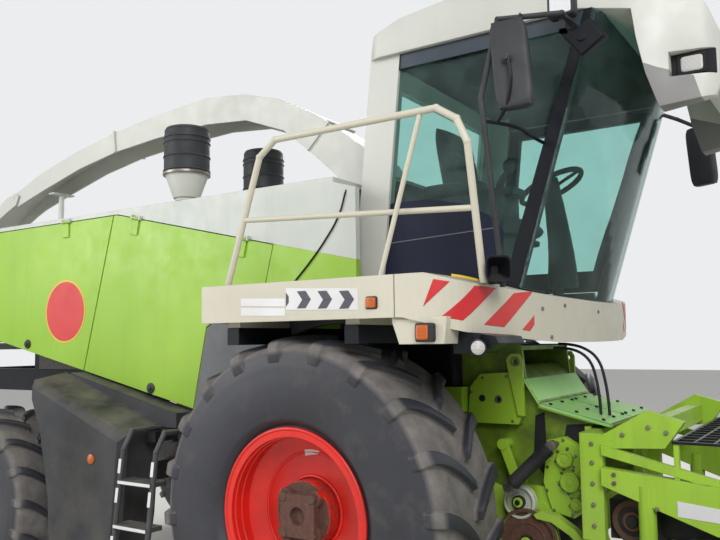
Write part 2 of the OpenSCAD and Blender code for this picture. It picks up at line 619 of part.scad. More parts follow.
// Mirrors, handrails, ladders
rail_r = 17;
arm_r = 13;
module mirrors() color("dimgray") placed() {
  tube([[1040, -1150, deck_at(1020) + 2], [985, -1210, 2860], [1080, -1215, 3210], [1335, -1080, 3225],
    [1335, -cab_half - 0.8, 3215]], arm_r);
  bar([1190, -1200, 3215], [1130, -1200, 3160], 10);
  translate([1150, -1200, 2790]) rotate([0, -4, 12]) block([-70, -30, 0], [70, 30, 400]);
  tube([[1335, cab_half + 0.8, 3215], [1400, 1080, 3228], [1520, 1250, 3180]], arm_r);
  translate([1530, 1250, 2790]) rotate([0, -4, -12]) block([-70, -30, 0], [70, 30, 400]);
}
hand_y = walkway_half - 70;
foot_lift = 5.4;
hand_top = 2797;
hand_mid = 2395;
module handrails() color(cream) placed() {
  tube([[-426, -hand_y, walkway_z + foot_lift], [-205, -hand_y, 2720], [-100, -hand_y, hand_top],
    [840, -hand_y, hand_top], [940, -hand_y, hand_top - 65], [990, -hand_y, 2620],
    [985, -1240, deck_at(965) + foot_lift]], rail_r);
  bar([-310, -hand_y, hand_mid], [988, -1315, hand_mid - 60], rail_r - 3);
  bar([757, -hand_y + 4, hand_top], [528, -hand_y + 4, walkway_z + foot_lift - 1.5], rail_r - 5);
  tube([[-426, hand_y, walkway_z + foot_lift], [-205, hand_y, 2720], [-150, hand_y, hand_top],
    [-20, hand_y, hand_top],
    [30, hand_y, 2700], [30, hand_y, walkway_z + 0.3]], rail_r);
  bar([-310, hand_y, hand_mid], [30, hand_y, hand_mid], rail_r - 3);
}
step_x = [-1215, -945];
step_top = 1250;
step_r = 15;
step_out = 80;
step_y = walkway_half - 50;
module ladders() color("gray") placed() both_sides() {
  for (x = step_x) tube([[x, -1120, step_top], [x, -step_y + 60, step_top], [x, -step_y, 1150],
    [x, -step_y - step_out, 470]], step_r);
  for (z = [480, 720, 960]) let (y = -step_y - step_out * (1150 - z) / 680)
    block([step_x[0], y - 18, z], [step_x[1], y + 100, z + 25]);
}
box_out = walkway_half - 100;
box_top = [[-2220, 1528], [-1290, 1222]];
box_foot = [[-1374, 480], [-1960, 480], [-1985, 800], [-2080, 1200]];
// the lip between box and doors
lip_low = step_top - 10;
lip_in = -900;
module tank_slice(y, up, in) translate([0, y, 0]) rotate([90, 0, 0]) linear_extrude(2)
  polygon([[box_top[0][0] + in, box_top[0][1] + up], [box_top[1][0] - in, box_top[1][1] + up],
    [box_top[1][0] - in - 60, 480 + in],
    [box_top[0][0] + in, 480 + in]]);
module side_boxes() color("dimgray") placed() both_sides() {
  intersection() {
    hull() {
      tank_slice(-box_in_y, 40, 0);
      tank_slice(-box_out + 50, 0, 0);
      tank_slice(-box_out + 2, -45, 45);
    }
    side_plate(concat([[box_top[0][0], 1650], [-1250, 1400], [-1250, 1180]], box_foot, [[-2220, 1500]]),
      -box_out - 10, -box_in_y);
  }
  side_plate([[box_top[0][0] + 50, 1480], [box_top[0][0] + 50, door_low(-2165) - 10],
    [door_foot[0] - 30, door_foot[1] - 20], [door_foot[0] - 30, lip_low], [box_top[1][0], lip_low]],
      -box_in_y, lip_in);
}
module air_cleaners() color("dimgray") placed() for (y = [-500, 350]) translate([-1650, y, deck_z]) {
  cylinder(r = 75, h = 120);
  translate([0, 0, 120]) cylinder(r1 = 90, r2 = 150, h = 170);
  translate([0, 0, 290]) cylinder(r = 160, h = 320);
  translate([0, 0, 610]) cylinder(r = 150, h = 20);
}
rest_x = -3800;
rest_z = 3150;
module exhaust() color("saddlebrown") placed() {
  translate([-1960, -200, deck_z]) cylinder(r = 60, h = 330);
  bar([-1960, -200, deck_z + 330], [-2080, -200, deck_z + 470], 55);
}

// Spout. Upper and lower edges of the channel in the side view, from root to end.
arch_top = [[-165, 2790], [-250, 2960], [-476, 3147], [-760, 3350], [-1080, 3515], [-1420, 3615],
  [-1802, 3655], [-2369, 3615],
  [-2882, 3550], [-3400, 3460], [-3908, 3330], [-4295, 3185]];
arch_low = [[-520, 2765], [-572, 2884], [-813, 3097], [-1039, 3275], [-1396, 3410], [-1801, 3446],
  [-2367, 3425], [-2863, 3385],
  [-3340, 3305], [-3865, 3172], [-4262, 3060]];
lift_x = -200;
lift_z = 2800;
// bolted flanges across the spout, each from a low to a high point [x, z, x, z]
flanges = [[-812, 3099, -640, 3262], [-2863, 3387, -2882, 3548]];
flap_x = -4290;
flap_z = 3150;
flap_pin_r = 10;
pin_r = 20;
turret_low = deck_z + 0.5;
turret_high = 2745;
function reversed(list) = [for (i = [len(list) - 1 : -1 : 0]) list[i]];
function dropped(list, t) = [for (p = list) [p[0], p[1] - t]];
module spout_turret() color(cream) placed() {
  difference() {
    translate([turret_x, 0, turret_low]) cylinder(r = 290, h = turret_high - turret_low);
    translate([turret_x, 0, turret_low - 1]) cylinder(r = 250, h = turret_high - turret_low - 15);
    translate([turret_x, 0, turret_low - 1]) cylinder(r = 175, h = turret_high - turret_low + 2);
  }
  both_sides() {
    side_plate([[lift_x - 60, turret_high - 10], [lift_x - 40, lift_z + 40], [lift_x + 40, lift_z + 40],
      [lift_x + 60, turret_high - 10]],
      -spout_half - 38, -spout_half - 12);
    translate([lift_x, -spout_half - 12, lift_z]) rotate([-90, 0, 0]) cylinder(r = pin_r, h = 50);
  }
  side_plate([[ram_foot[0] - 50, turret_high - 10], [ram_foot[0] - 25, ram_foot[1] + 25],
    [ram_foot[0] + 25, ram_foot[1] + 25],
    [ram_foot[0] + 50, turret_high - 10]], ram_y - 59, ram_y - 33);
  translate([ram_foot[0], ram_y - 40, ram_foot[1]]) rotate([-90, 0, 0]) cylinder(r = ram_pin_r, h = 60);
}
ram_foot = [-330, 2780];
ram_head = [-800, 3200];
ram_y = 215;
ram_pin_r = 12;
module spout_arch() color(cream) placed() {
  both_sides() difference() {
    side_plate(concat([[arch_top[0][0], lift_z - 32]], arch_top, reversed(arch_low)), -spout_half,
      -spout_half + spout_t);
    translate([lift_x, -spout_half - 5, lift_z]) rotate([-90, 0, 0])
      cylinder(r = pin_r + fit, h = spout_t + 10);
  }
  side_plate(concat(arch_top, reversed(dropped(arch_top, spout_t))), -spout_half + 2, spout_half - 2);
  for (f = flanges) along([f[0], f[1]], [f[2], f[3]], [f[0], f[1]]) difference() {
    translate([-9, -spout_half - 16, -6]) cube([18, 2 * spout_half + 32,
      norm([f[2] - f[0], f[3] - f[1]]) + 24]);
    translate([-10, -spout_half + spout_t - 2, -10]) cube([20, 2 * (spout_half - spout_t + 2),
      norm([f[2] - f[0], f[3] - f[1]]) + 12]);
  }
  both_sides() translate([flap_x, -spout_half, flap_z]) rotate([-90, 0, 0]) {
    cylinder(r = 21, h = spout_t);
    translate([0, 0, -22]) cylinder(r = flap_pin_r, h = 22 + spout_t);
  }
  translate([ram_head[0], spout_half - 4, ram_head[1]]) rotate([-90, 0, 0])
    cylinder(r = ram_pin_r, h = ram_y - spout_half + 24);
}
module spout_flap() color(cream) placed() {
  both_sides() difference() {
    side_plate([[flap_x + 70, flap_z + 10], [flap_x, flap_z + 35], [-4420, 3150], [-4610, 3040],
      [spout_end_x, 2908], [-4658, 2900],
    [-4398, 3020], [flap_x + 30, flap_z - 75]], -spout_half - 18, -spout_half - 6);
    translate([flap_x, -spout_half - 30, flap_z]) rotate([-90, 0, 0])
      cylinder(r = flap_pin_r + fit, h = 40);
  }
  side_plate([[flap_x - 20, flap_z + 32], [-4420, 3150], [-4610, 3040], [spout_end_x, 2908],
    [-4768, 2898], [-4602, 3028], [-4412, 3138],
    [flap_x - 20, flap_z + 18]], -spout_half - 8, spout_half + 8);
}
// a ram along z from its foot eye; the rod is drawn from its head eye backwards
module ram_barrel(r, bore, len, eye_r, eye_w, pin) {
  difference() {
    union() {
      translate([0, 0, 20]) cylinder(r = r, h = len - 20);
      rotate([90, 0, 0]) translate([0, 0, -eye_w / 2]) cylinder(r = eye_r, h = eye_w);
    }
    translate([0, 0, 60]) cylinder(r = bore + fit, h = len);
    rotate([90, 0, 0]) translate([0, 0, -eye_w]) cylinder(r = pin + fit, h = 2 * eye_w);
  }
}
module ram_rod(r, len, eye_r, eye_w, hole) difference() {
  union() {
    translate([0, 0, -len]) cylinder(r = r, h = len - 10);
    rotate([90, 0, 0]) translate([0, 0, -eye_w / 2]) cylinder(r = eye_r, h = eye_w);
  }
  rotate([90, 0, 0]) translate([0, 0, -eye_w]) cylinder(r = hole, h = 2 * eye_w);
}
// stands a ram's z axis along the line from foot to head, both [x, z]
module along(from, to, at) translate([at[0], 0, at[1]]) rotate([0,
  atan2(to[0] - from[0], to[1] - from[1]), 0]) children();
module spout_barrel() color("dimgray") placed() translate([0, ram_y, 0]) along(ram_foot, ram_head, ram_foot)
  ram_barrel(26, 14, 420, 28, 24, ram_pin_r);
module spout_rod() color("silver") placed() translate([0, ram_y, 0]) along(ram_foot, ram_head, ram_head)
  ram_rod(14, 500, 28, 24, ram_pin_r + 8);

// Chopper drum housing, crop channel and feed housing
module crop_channel() color("darkgray") placed() {
  translate([chopper_x, -plate_y + seat_gap, chopper_z]) rotate([-90, 0, 0])
    cylinder(r = chopper_r, h = 2 * (plate_y - seat_gap));
  side_plate([[-150, 1300], [60, 1600], [-50, 1900], [-60, 2330], [-540, 2330], [-480, 1700]], -240, 240);
  difference() {
    translate([turret_x, 0, 2300]) cylinder(r = 238, h = 420);
    translate([turret_x, 0, 2340]) cylinder(r = 224, h = 420);
  }
}
feed_rear = 450;
feed_front = 1190;
throat_x = 850;
lug_x = 820;
lug_z = 900;
lug_t = 12;
lug_out = 42;
lift_pin_r = 20;
lift_y = 300;
sheet_y = 430;
module feeder_housing() color(lime) placed() {
  both_sides() {
    side_plate([[feed_rear, 1060], [feed_rear, 1700], [520, 1720], [throat_x - 40, 1720],
      [throat_x - 20, 1530], [912, 1390],
      [feed_front, 1320], [feed_front, 900], [throat_x, 900], [620, 960]], -feeder_half, -feeder_half + 20);
    side_plate([[502, 1292], [520, 1487], [581, 1561], [785, 1573], [822, 1339], [800, 1292]], -sheet_y,
      -feeder_half);
    difference() {
      side_plate([[760, 1560], [745, 1640], [770, 1672], [820, 1672], [838, 1640], [842, 1340],
        [805, 1340]], -sheet_y - 14, -sheet_y + 6);
      translate([797, -sheet_y - 15, 1630]) rotate([-90, 0, 0]) cylinder(r = 16, h = 30);
    }
    for (y = [-lift_y - lug_out, -lift_y + lug_out - lug_t])
      block([lug_x - 60, y, lug_z - 36], [lug_x + 20, y + lug_t, 961]);
    difference() {
      union() {
        translate([chopper_x, -plate_y - plate_t - 30, chopper_z]) rotate([-90, 0, 0])
          cylinder(r = 80, h = 25);
        block([chopper_x, -plate_y - plate_t - 30, chopper_z - 70],
          [490, -plate_y - plate_t - 5, chopper_z + 70]);
      }
      translate([chopper_x, -plate_y - plate_t - 40, chopper_z]) rotate([-90, 0, 0])
        cylinder(r = pivot_r + fit, h = 50);
    }
    block([455, -plate_y - plate_t - 30, chopper_z - 70], [500, -feeder_half, chopper_z + 70]);
    translate([lug_x - 20, -lift_y - lug_out, lug_z]) rotate([-90, 0, 0])
      cylinder(r = lift_pin_r, h = 2 * lug_out);
    block([feed_front - 30, -sheet_y, 900], [feed_front, -feeder_half, 1300]);
  }
  // sloping covers over the throat, each a folded sheet
  side_plate([[throat_x - 20, 1534], [throat_x - 8, 1538], [924, 1413], [912, 1405]], -sheet_y, sheet_y);
  for (y = [-sheet_y, 8]) side_plate([[915, 1385], [915, 1408], [1299, 1312], [1299, 1300],
    [feed_front, 1318]], y, y + sheet_y - 8);
  block([feed_rear, -feeder_half + 20, 1690], [throat_x - 50, feeder_half - 20, 1715]);
  block([620, -feeder_half + 20, 960], [feed_front, feeder_half - 20, 985]);
  for (roll = [[755, 1130, 85], [545, 1140, 75], [710, 1480, 125], [560, 1440, 90]])
    translate([roll[0], -feeder_half + 10, roll[1]]) rotate([-90, 0, 0])
      cylinder(r = roll[2], h = 2 * feeder_half - 20);
}
lift_foot = [230, 760];
lift_head = [lug_x - 20, lug_z];
module lift_barrels() color("dimgray") placed() both_sides() translate([0, -lift_y, 0])
  along(lift_foot, lift_head, lift_foot)
  ram_barrel(42, 25, 430, 40, 40, lift_pin_r);
module lift_rods() color("silver") placed() both_sides() translate([0, -lift_y, 0])
  along(lift_foot, lift_head, lift_head)
  ram_rod(25, 440, 36, 40, lift_pin_r + 6);
// gearbox plate on the right of the housing, with its covers, pulleys, guard and levers
drive_y = feeder_half + 50;
pulleys = [[809, 894, 87, 46], [851, 698, 165, 60]];
covers = [[1054, 1128, 42], [1078, 1014, 50], [1110, 905, 30]];
module disc(x, z, r, y0, y1) translate([x, -y1, z]) rotate([-90, 0, 0]) cylinder(r = r, h = y1 - y0);
module header_drive() color(lime) placed() {
  side_plate([[957, 1219], [1049, 1240], [feed_front - 35, 1180], [feed_front - 35, 873], [1090, 830],
    [976, 851], [930, 1000]],
    -drive_y, -feeder_half - seat_gap);
  for (c = covers) disc(c[0], c[1], c[2], drive_y - 5, drive_y + 26);
  for (a = [0 : 45 : 315], c = [covers[1]]) disc(c[0] + (c[2] + 18) * cos(a), c[1] + (c[2] + 18) * sin(a),
    7, drive_y - 5, drive_y + 8);
  side_plate([[620, 980], [620, 860], [760, 640], [930, 560], [1010, 640], [980, 860]], -feeder_half - 45,
    -feeder_half - 25);
  block([700, -feeder_half - 30, 850], [960, -feeder_half - seat_gap, 975]);
  for (p = pulleys) {
    disc(p[0], p[1], 26, feeder_half + 40, drive_y + p[3] + 22);
    difference() {
      disc(p[0], p[1], p[2], drive_y + 10, drive_y + p[3]);
      disc(p[0], p[1], p[2] - 16, drive_y + p[3] - 14, drive_y + p[3] + 5);
    }
  }
  side_plate([[894, 842], [930, 862], [1010, 850], [1110, 790], [1175, 722], [1150, 700], [1080, 760],
    [990, 812], [910, 822]],
    -drive_y - 70, -drive_y - 10);
  block([940, -drive_y - 14, 800], [1000, -feeder_half - 25, 840]);
  side_plate([[690, 1190], [740, 1200], [820, 985], [772, 975]], -drive_y - 26, -drive_y - 6);
  disc(800, 994, 24, feeder_half - 5 + seat_gap + 5, drive_y + 30);
  disc(715, 1185, 30, feeder_half + seat_gap, drive_y + 30);
}

// Header frame with its gearboxes, arms and crop dividers
rotor_x = 2250;
rotor_y = 745;
rotor_low = header_clear + 110;
rotor_shaft_r = 40;
frame_x = 1190.3;
frame_half = 620;
frame_high = 1290;
header_arm_y = 590;
module header_frame() color(lime) placed() {
  difference() {
    block([frame_x, -frame_half, 780], [frame_x + 50, frame_half, frame_high]);
    block([frame_x - 10, -feeder_half, 960], [frame_x + 60, feeder_half, 1240]);
    both_sides() block([frame_x - 10, -frame_half + 70, 850], [frame_x + 60, -sheet_y - 40, 1200]);
  }
  both_sides() {
    block([frame_x + 40, -frame_half, 780], [frame_x + 110, -frame_half + 50, frame_high]);
    side_plate([[frame_x + 109, 1283], [1514, 1409], [1681, 1361], [1591, 1236], [frame_x + 109, 1220]],
      -frame_half, -frame_half + 50);
    side_plate([[frame_x + 40, 860], [frame_x + 80, 860], [1400, header_clear + 160],
      [1400, header_clear], [1320, header_clear]], -600, -540);
    side_plate([[frame_x + 108, 1133], [1815, 1085], [2350, 1040], [2350, 900], [1803, 870],
      [frame_x + 108, 1050]],
      -header_arm_y - 60, -header_arm_y);
    side_plate([[frame_x + 108, 1240], [1815, 1112], [2330, 995], [2330, 940], [1815, 1072],
      [frame_x + 108, 1190]],
      -header_arm_y - 45, -header_arm_y - 15);
    for (x = [1630, 2170]) block([x, -header_arm_y - 42, 1000], [x + 24, -header_arm_y - 18, mesh_z]);
    bar([1500, -header_arm_y - 30, 1060], [1500, -header_arm_y - 30, header_clear + 90], 40);
    block([1380, -header_arm_y - 80, header_clear + 20], [rotor_x, -header_arm_y + 30, header_clear + 100]);
    translate([rotor_x, -rotor_y, header_clear]) cylinder(r = 240, h = 100);
    translate([rotor_x, -rotor_y, header_clear + 90]) cylinder(r = rotor_shaft_r, h = 400);
    side_plate([[1300, header_clear], [1300, header_clear + 160], [1560, header_clear + 560],
      [2200, header_clear + 500], [3100, header_clear + 180],
      [header_nose_x, header_clear + 30], [3100, header_clear]], -header_half, -header_half + 40);
  }
  for (x = [1330, 1480]) block([x, -frame_half + 49, 1255],
    [x + 70, frame_half - 49, 1275 + (x - 1330) * 0.5]);
  block([1380, -header_half + 20, header_clear + 10], [1500, header_half - 20, header_clear + 130]);
  bar([2320, -header_arm_y - 30, 980], [2320, header_arm_y + 30, 980], 40);
  side_plate([[2700, header_clear], [2700, header_clear + 260], [3000, header_clear + 190],
    [header_nose_x, header_clear + 30], [3100, header_clear]], -40, 40);
  block([1480, -60, header_clear], [2720, 60, header_clear + 90]);
}
mesh_x = 1625;
mesh_z = 1262;
module mesh_guard() color("black") placed() translate([mesh_x, 0, mesh_z + seat_gap]) linear_extrude(12)
  difference() {
  translate([0, -640]) square([620, 1280]);
  for (i = [0 : 6], k = [0 : 11]) translate([15 + i * 86, -620 + k * 104]) square([74, 92]);
}
module rotor() {
  translate([rotor_x, -rotor_y, 0]) difference() {
    union() {
      translate([0, 0, rotor_low]) cylinder(r = rotor_d / 2, h = 8);
      translate([0, 0, rotor_low]) cylinder(r = 330, h = 420);
      for (z = [130, 260, 390]) translate([0, 0, rotor_low + z]) cylinder(r = 600, h = 10);
    }
    translate([0, 0, rotor_low - 1]) cylinder(r = rotor_shaft_r + fit, h = 400);
  }
}
module rotor_r() color("silver") placed() rotor();
module rotor_l() color("silver") placed() left() rotor();
module lamps() color("orange") placed() {
  both_sides() translate([520, -walkway_half - 12, 1960]) rotate([-90, 0, 0]) cylinder(r = 18, h = 12);
  both_sides() translate([lamp_x, lamp_box[0][1] - 1, 1787]) rotate([-90, 0, 0]) scale([1, 0.8, 1])
    cylinder(r = 38, h = 18);
}

chassis_frame();
front_axle();
rear_axle();
knuckle_r();
knuckle_l();
rim_fr();
rim_fl();
rim_rr();
rim_rl();
tyre_fr();
tyre_fl();
tyre_rr();
tyre_rl();
engine_block();
upper_body();
side_door_fr();
side_door_rr();
side_door_fl();
side_door_rl();
rear_grille();
fixed_panels();
arch_panels();
walkways();
front_fascia();
cab_shell();
cab_frame();
cab_roof();
cab_glass();
cab_door();
door_glass();
seat();
controls();
mirrors();
handrails();
ladders();
side_boxes();
air_cleaners();
exhaust();
spout_turret();
spout_arch();
spout_flap();
spout_barrel();
spout_rod();
crop_channel();
feeder_housing();
header_drive();
lift_barrels();
lift_rods();
header_frame();
mesh_guard();
rotor_r();
rotor_l();
lamps();
work_lamps();
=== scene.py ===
import math

import bmesh
import bpy
import numpy as np
from mathutils import Matrix


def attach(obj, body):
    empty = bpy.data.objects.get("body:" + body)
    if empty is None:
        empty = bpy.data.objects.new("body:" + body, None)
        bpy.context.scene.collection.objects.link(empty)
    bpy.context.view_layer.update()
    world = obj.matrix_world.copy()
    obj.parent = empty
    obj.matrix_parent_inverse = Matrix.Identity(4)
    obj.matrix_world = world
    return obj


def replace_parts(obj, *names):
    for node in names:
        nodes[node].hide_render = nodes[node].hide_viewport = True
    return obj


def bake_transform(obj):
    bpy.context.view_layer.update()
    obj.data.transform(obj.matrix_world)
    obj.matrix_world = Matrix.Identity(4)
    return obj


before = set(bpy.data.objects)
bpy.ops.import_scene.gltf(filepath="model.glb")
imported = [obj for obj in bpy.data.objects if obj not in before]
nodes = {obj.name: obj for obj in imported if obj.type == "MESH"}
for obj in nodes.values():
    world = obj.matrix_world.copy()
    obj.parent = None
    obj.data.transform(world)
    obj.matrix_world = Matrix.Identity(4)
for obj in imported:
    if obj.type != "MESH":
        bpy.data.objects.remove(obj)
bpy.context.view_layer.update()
axleX = 0.738   # the front axle in the row frame; the sizes below are measured from it, in metres
axleAt = (axleX, 0, 0)
toRight, upwards = (0, -1, 0), (0, 0, 1)
filmThick = 0.0015   # stickers and reflectors on flat faces
print("frame loaded:", len(nodes), "nodes")


# small helpers

def toLinear(hexColour):
    # an sRGB hex colour as linear RGBA
    v = np.array([int(hexColour[i:i + 2], 16) for i in (1, 3, 5)]) / 255
    lin = np.where(v <= 0.04045, v / 12.92, ((v + 0.055) / 1.055) ** 2.4)
    return (*lin.tolist(), 1.0)


def feed(tree, node, inputs):
    # each input of the node takes a socket or a plain value
    for key, value in inputs.items():
        if isinstance(value, bpy.types.NodeSocket):
            tree.links.new(value, node.inputs[key])
        else:
            node.inputs[key].default_value = value
    return node


def addNode(tree, kind, settings=None, inputs=None):
    # one shader node with its properties and its inputs
    node = tree.nodes.new(kind)
    for key, value in (settings or {}).items():
        setattr(node, key, value)
    return feed(tree, node, inputs or {})


def newMaterial(name):
    mat = bpy.data.materials.new(name)
    mat.use_nodes = True
    return mat, mat.node_tree, mat.node_tree.nodes["Principled BSDF"]


def linked(name, data):
    # an object at the origin, linked into the scene
    obj = bpy.data.objects.new(name, data)
    bpy.context.scene.collection.objects.link(obj)
    return obj


def rawMesh(name, part):
    # a part is (points, faces), its points from the front axle
    points, faces = part
    mesh = bpy.data.meshes.new(name)
    placed = np.asarray(points, float) + axleAt
    mesh.from_pydata(placed.tolist(), [], [[int(i) for i in face] for face in faces])
    return mesh


def edited(mesh, change):
    # the mesh taken through a change of its bmesh
    bm = bmesh.new()
    bm.from_mesh(mesh)
    change(bm)
    bm.to_mesh(mesh)
    bm.free()


def turnOutwards(bm):
    bmesh.ops.recalc_face_normals(bm, faces=bm.faces)


def shade(mesh, sharp):
    # smooth faces, parted where they bend by more than sharp degrees
    mesh.polygons.foreach_set("use_smooth", np.ones(len(mesh.polygons), bool))
    mesh.set_sharp_from_angle(angle=math.radians(sharp))


def newMesh(name, part, material, body, sharp=35):
    mesh = rawMesh(name, part)
    edited(mesh, turnOutwards)
    shade(mesh, sharp)
    obj = linked(name, mesh)
    mesh.materials.append(material)
    if body:
        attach(obj, body)
    return obj


def gridFaces(rows, cols, closedRows=False, closedCols=False):
    # quads over a grid of rows x cols points, wrapped round where a direction is closed
    r = np.arange(rows if closedRows else rows - 1)
    c = np.arange(cols if closedCols else cols - 1)
    a, b = np.meshgrid(r, c, indexing="ij")
    a2, b2 = (a + 1) % rows, (b + 1) % cols
    return np.stack([a * cols + b, a * cols + b2, a2 * cols + b2, a2 * cols + b], -1).reshape(-1, 4).tolist()


def endFaces(count, last):
    # the two faces that close a run of rings: the first ring, and the one whose points start at last
    return [list(range(count))[::-1], list(range(last, last + count))]


def joined(parts):
    # several parts as one
    points, faces, start = [], [], 0
    for p, f in parts:
        points.append(np.asarray(p, float))
        faces += [[i + start for i in row] for row in f]
        start += len(p)
    return np.concatenate(points), faces


def mirrored(part):
    # the same part on the other side, y to -y
    points, faces = part
    return np.asarray(points) * (1, -1, 1), faces


def bothSides(parts):
    return joined(parts + [mirrored(part) for part in parts])


def turnTo(direction):
    # a 3x3 matrix whose columns are two sideways axes and the given direction
    d = np.asarray(direction, float) / np.linalg.norm(direction)
    side = np.cross(upwards if abs(d[2]) < 0.9 else (1, 0, 0), d)
    side /= np.linalg.norm(side)
    return np.stack([side, np.cross(d, side), d], 1)


def aroundCircle(count):
    # count points (cos t, sin t) of the unit circle, at even angles
    t = np.linspace(0, 2 * np.pi, count, endpoint=False)
    return np.stack([np.cos(t), np.sin(t)], -1)


def revolved(profile, centre, axis, segments=48, loop=False):
    # each profile point (r, h) goes round the axis: p = centre + r cos t u + r sin t v + h axis.
    # A loop closes on itself, and an open profile gets a face at each end
    prof = np.asarray(profile, float)
    m = turnTo(axis)
    ring = aroundCircle(segments) @ m[:, :2].T
    points = np.asarray(centre) + prof[:, None, 0, None] * ring[None] + prof[:, None, 1, None] * m[:, 2]
    faces = gridFaces(len(prof), segments, closedRows=loop, closedCols=True)
    if not loop:
        faces += endFaces(segments, (len(prof) - 1) * segments)
    return points.reshape(-1, 3), faces


def boxed(low, high):
    # the eight corners of a box and its six faces, pointing outwards
    lo, hi = np.asarray(low, float), np.asarray(high, float)
    bits = np.array([[x, y, z] for x in (0, 1) for y in (0, 1) for z in (0, 1)])
    faces = [[0, 1, 3, 2], [4, 6, 7, 5], [0, 4, 5, 1], [2, 3, 7, 6], [0, 2, 6, 4], [1, 5, 7, 3]]
    return lo + bits * (hi - lo), faces


def signedPower(value, power):
    return np.sign(value) * np.abs(value) ** power


def roundedBlock(low, high, soft=0.35, rows=14, cols=32):
    # a box with rounded corners: the cosines and sines of a sphere's two angles, each to the power soft
    lo, hi = np.asarray(low, float), np.asarray(high, float)
    middle, half = (lo + hi) / 2, (hi - lo) / 2
    v = np.linspace(-np.pi / 2, np.pi / 2, rows)
    ring = signedPower(aroundCircle(cols), soft)
    wide = signedPower(np.cos(v), soft)[:, None]
    tall = np.broadcast_to(signedPower(np.sin(v), soft)[:, None], (rows, cols))
    points = np.stack([wide * ring[None, :, 0], wide * ring[None, :, 1], tall], -1)[1:-1].reshape(-1, 3)
    faces = gridFaces(rows - 2, cols, closedCols=True) + endFaces(cols, (rows - 3) * cols)
    return middle + points * half, faces


def smoothPath(points, count):
    # a Catmull-Rom curve: cubic blends of four neighbours, sampled evenly in the parameter
    p = np.asarray(points, float)
    p = np.vstack([2 * p[0] - p[1], p, 2 * p[-1] - p[-2]])
    s = np.linspace(0, len(p) - 3 - 1e-9, count)
    i = s.astype(int)
    t = (s - i)[:, None]
    a, b, c, d = p[i], p[i + 1], p[i + 2], p[i + 3]
    square, cube = 2 * a - 5 * b + 4 * c - d, 3 * b - a - 3 * c + d
    return 0.5 * (2 * b + (c - a) * t + square * t ** 2 + cube * t ** 3)


def tubeAlong(path, radius, segments=14):
    # a circle carried along the path: p = path + r cos t u + r sin t v, u and v square to the path
    p = np.asarray(path, float)
    d = np.gradient(p, axis=0)
    d /= np.linalg.norm(d, axis=1)[:, None]
    u = np.cross(d, (0.13, 0.31, 0.94))   # a direction that no path here takes
    u /= np.linalg.norm(u, axis=1)[:, None]
    v = np.cross(d, u)
    ring = aroundCircle(segments)[None, :, :, None]
    r = np.broadcast_to(radius, len(p))[:, None, None]
    points = p[:, None] + r * (ring[:, :, 0] * u[:, None] + ring[:, :, 1] * v[:, None])
    faces = gridFaces(len(p), segments, closedCols=True) + endFaces(segments, (len(p) - 1) * segments)
    return points.reshape(-1, 3), faces


def slab(outline, axisOut, thickness):
    # a flat outline of 3-D points, in order, lifted by its thickness along axisOut and closed all round
    a = np.asarray(outline, float)
    n = len(a)
    b = a + np.asarray(axisOut, float) * thickness
    faces = endFaces(n, n) + [[i, (i + 1) % n, n + (i + 1) % n, n + i] for i in range(n)]
    return np.vstack([a, b]), faces


def sidePlate(outline, y, thickness):
    # an outline of (x, z) on the plane y, raised towards the right
    return slab([(x, y, z) for x, z in outline], toRight, thickness)


def boltHeads(places, axis, across=0.018, height=0.008):
    # six-sided heads: a hexagon of the given width across corners at each place, raised along the axis
    m = turnTo(axis)
    t = np.arange(6) * np.pi / 3
    ring = (np.stack([np.cos(t), np.sin(t)], -1) * across / 2) @ m[:, :2].T
    one = np.concatenate([ring, ring + m[:, 2] * height * 0.8, ring * 0.8 + m[:, 2] * height])
    faces = gridFaces(3, 6, closedCols=True) + [list(range(12, 18))]
    return joined([(one + np.asarray(place), faces) for place in places])


def turned(part, about, axis, degrees):
    # Rodrigues' rotation of the points about a line
    points, faces = part
    m = np.array(Matrix.Rotation(math.radians(degrees), 3, axis))
    return (np.asarray(points) - about) @ m.T + about, faces


# camera, floor and light

photo = {
    "place": (axleX + 2.431, -4.445, 1.751),        # where the photographer stood
    # degrees: from +Y towards -X, upwards, and how far the picture's right side is lifted
    "yaw": 33.318, "pitch": 5.241, "roll": -0.78,
    "lens": 38.871, "sensor": 36.0, "far": 200,
}


def framed(columns, place):
    # a 4x4 matrix from the three axes and the place of an object
    m = np.eye(4)
    m[:3, :3], m[:3, 3] = columns, place
    return Matrix(m.tolist())


def setCamera():
    # the look direction from yaw and pitch, then the picture's right and up turned by the roll
    a, e, r = (math.radians(photo[key]) for key in ("yaw", "pitch", "roll"))
    look = np.array([-math.sin(a) * math.cos(e), math.cos(a) * math.cos(e), math.sin(e)])
    right = np.array([math.cos(a), math.sin(a), 0.0])
    up = np.cross(right, look)
    data = bpy.data.cameras.new("camera")
    data.lens, data.sensor_width, data.clip_end = photo["lens"], photo["sensor"], photo["far"]
    camera = linked("camera", data)
    axes = [math.cos(r) * right + math.sin(r) * up, -math.sin(r) * right + math.cos(r) * up, -look]
    camera.matrix_world = framed(np.stack(axes, 1), photo["place"])
    bpy.context.scene.camera = camera


studio = {
    "sky": "#F4F6F8", "lit": 0.50, "seen": 0.92, "floor": "#DCDAD5", "floor half": 40.0,
    "lamps": (   # name, place and aim from the frame's origin, watts, size in metres
        ("key", (6.5, -7.5, 7.5), (0, 0, 1.2), 760, 5.0),
        ("fill", (-6.5, -7.0, 5.0), (-1, 0, 1.5), 420, 5.0),
        ("back", (-3.0, 8.0, 6.5), (0, 0, 1.5), 420, 5.0),
    ),
}


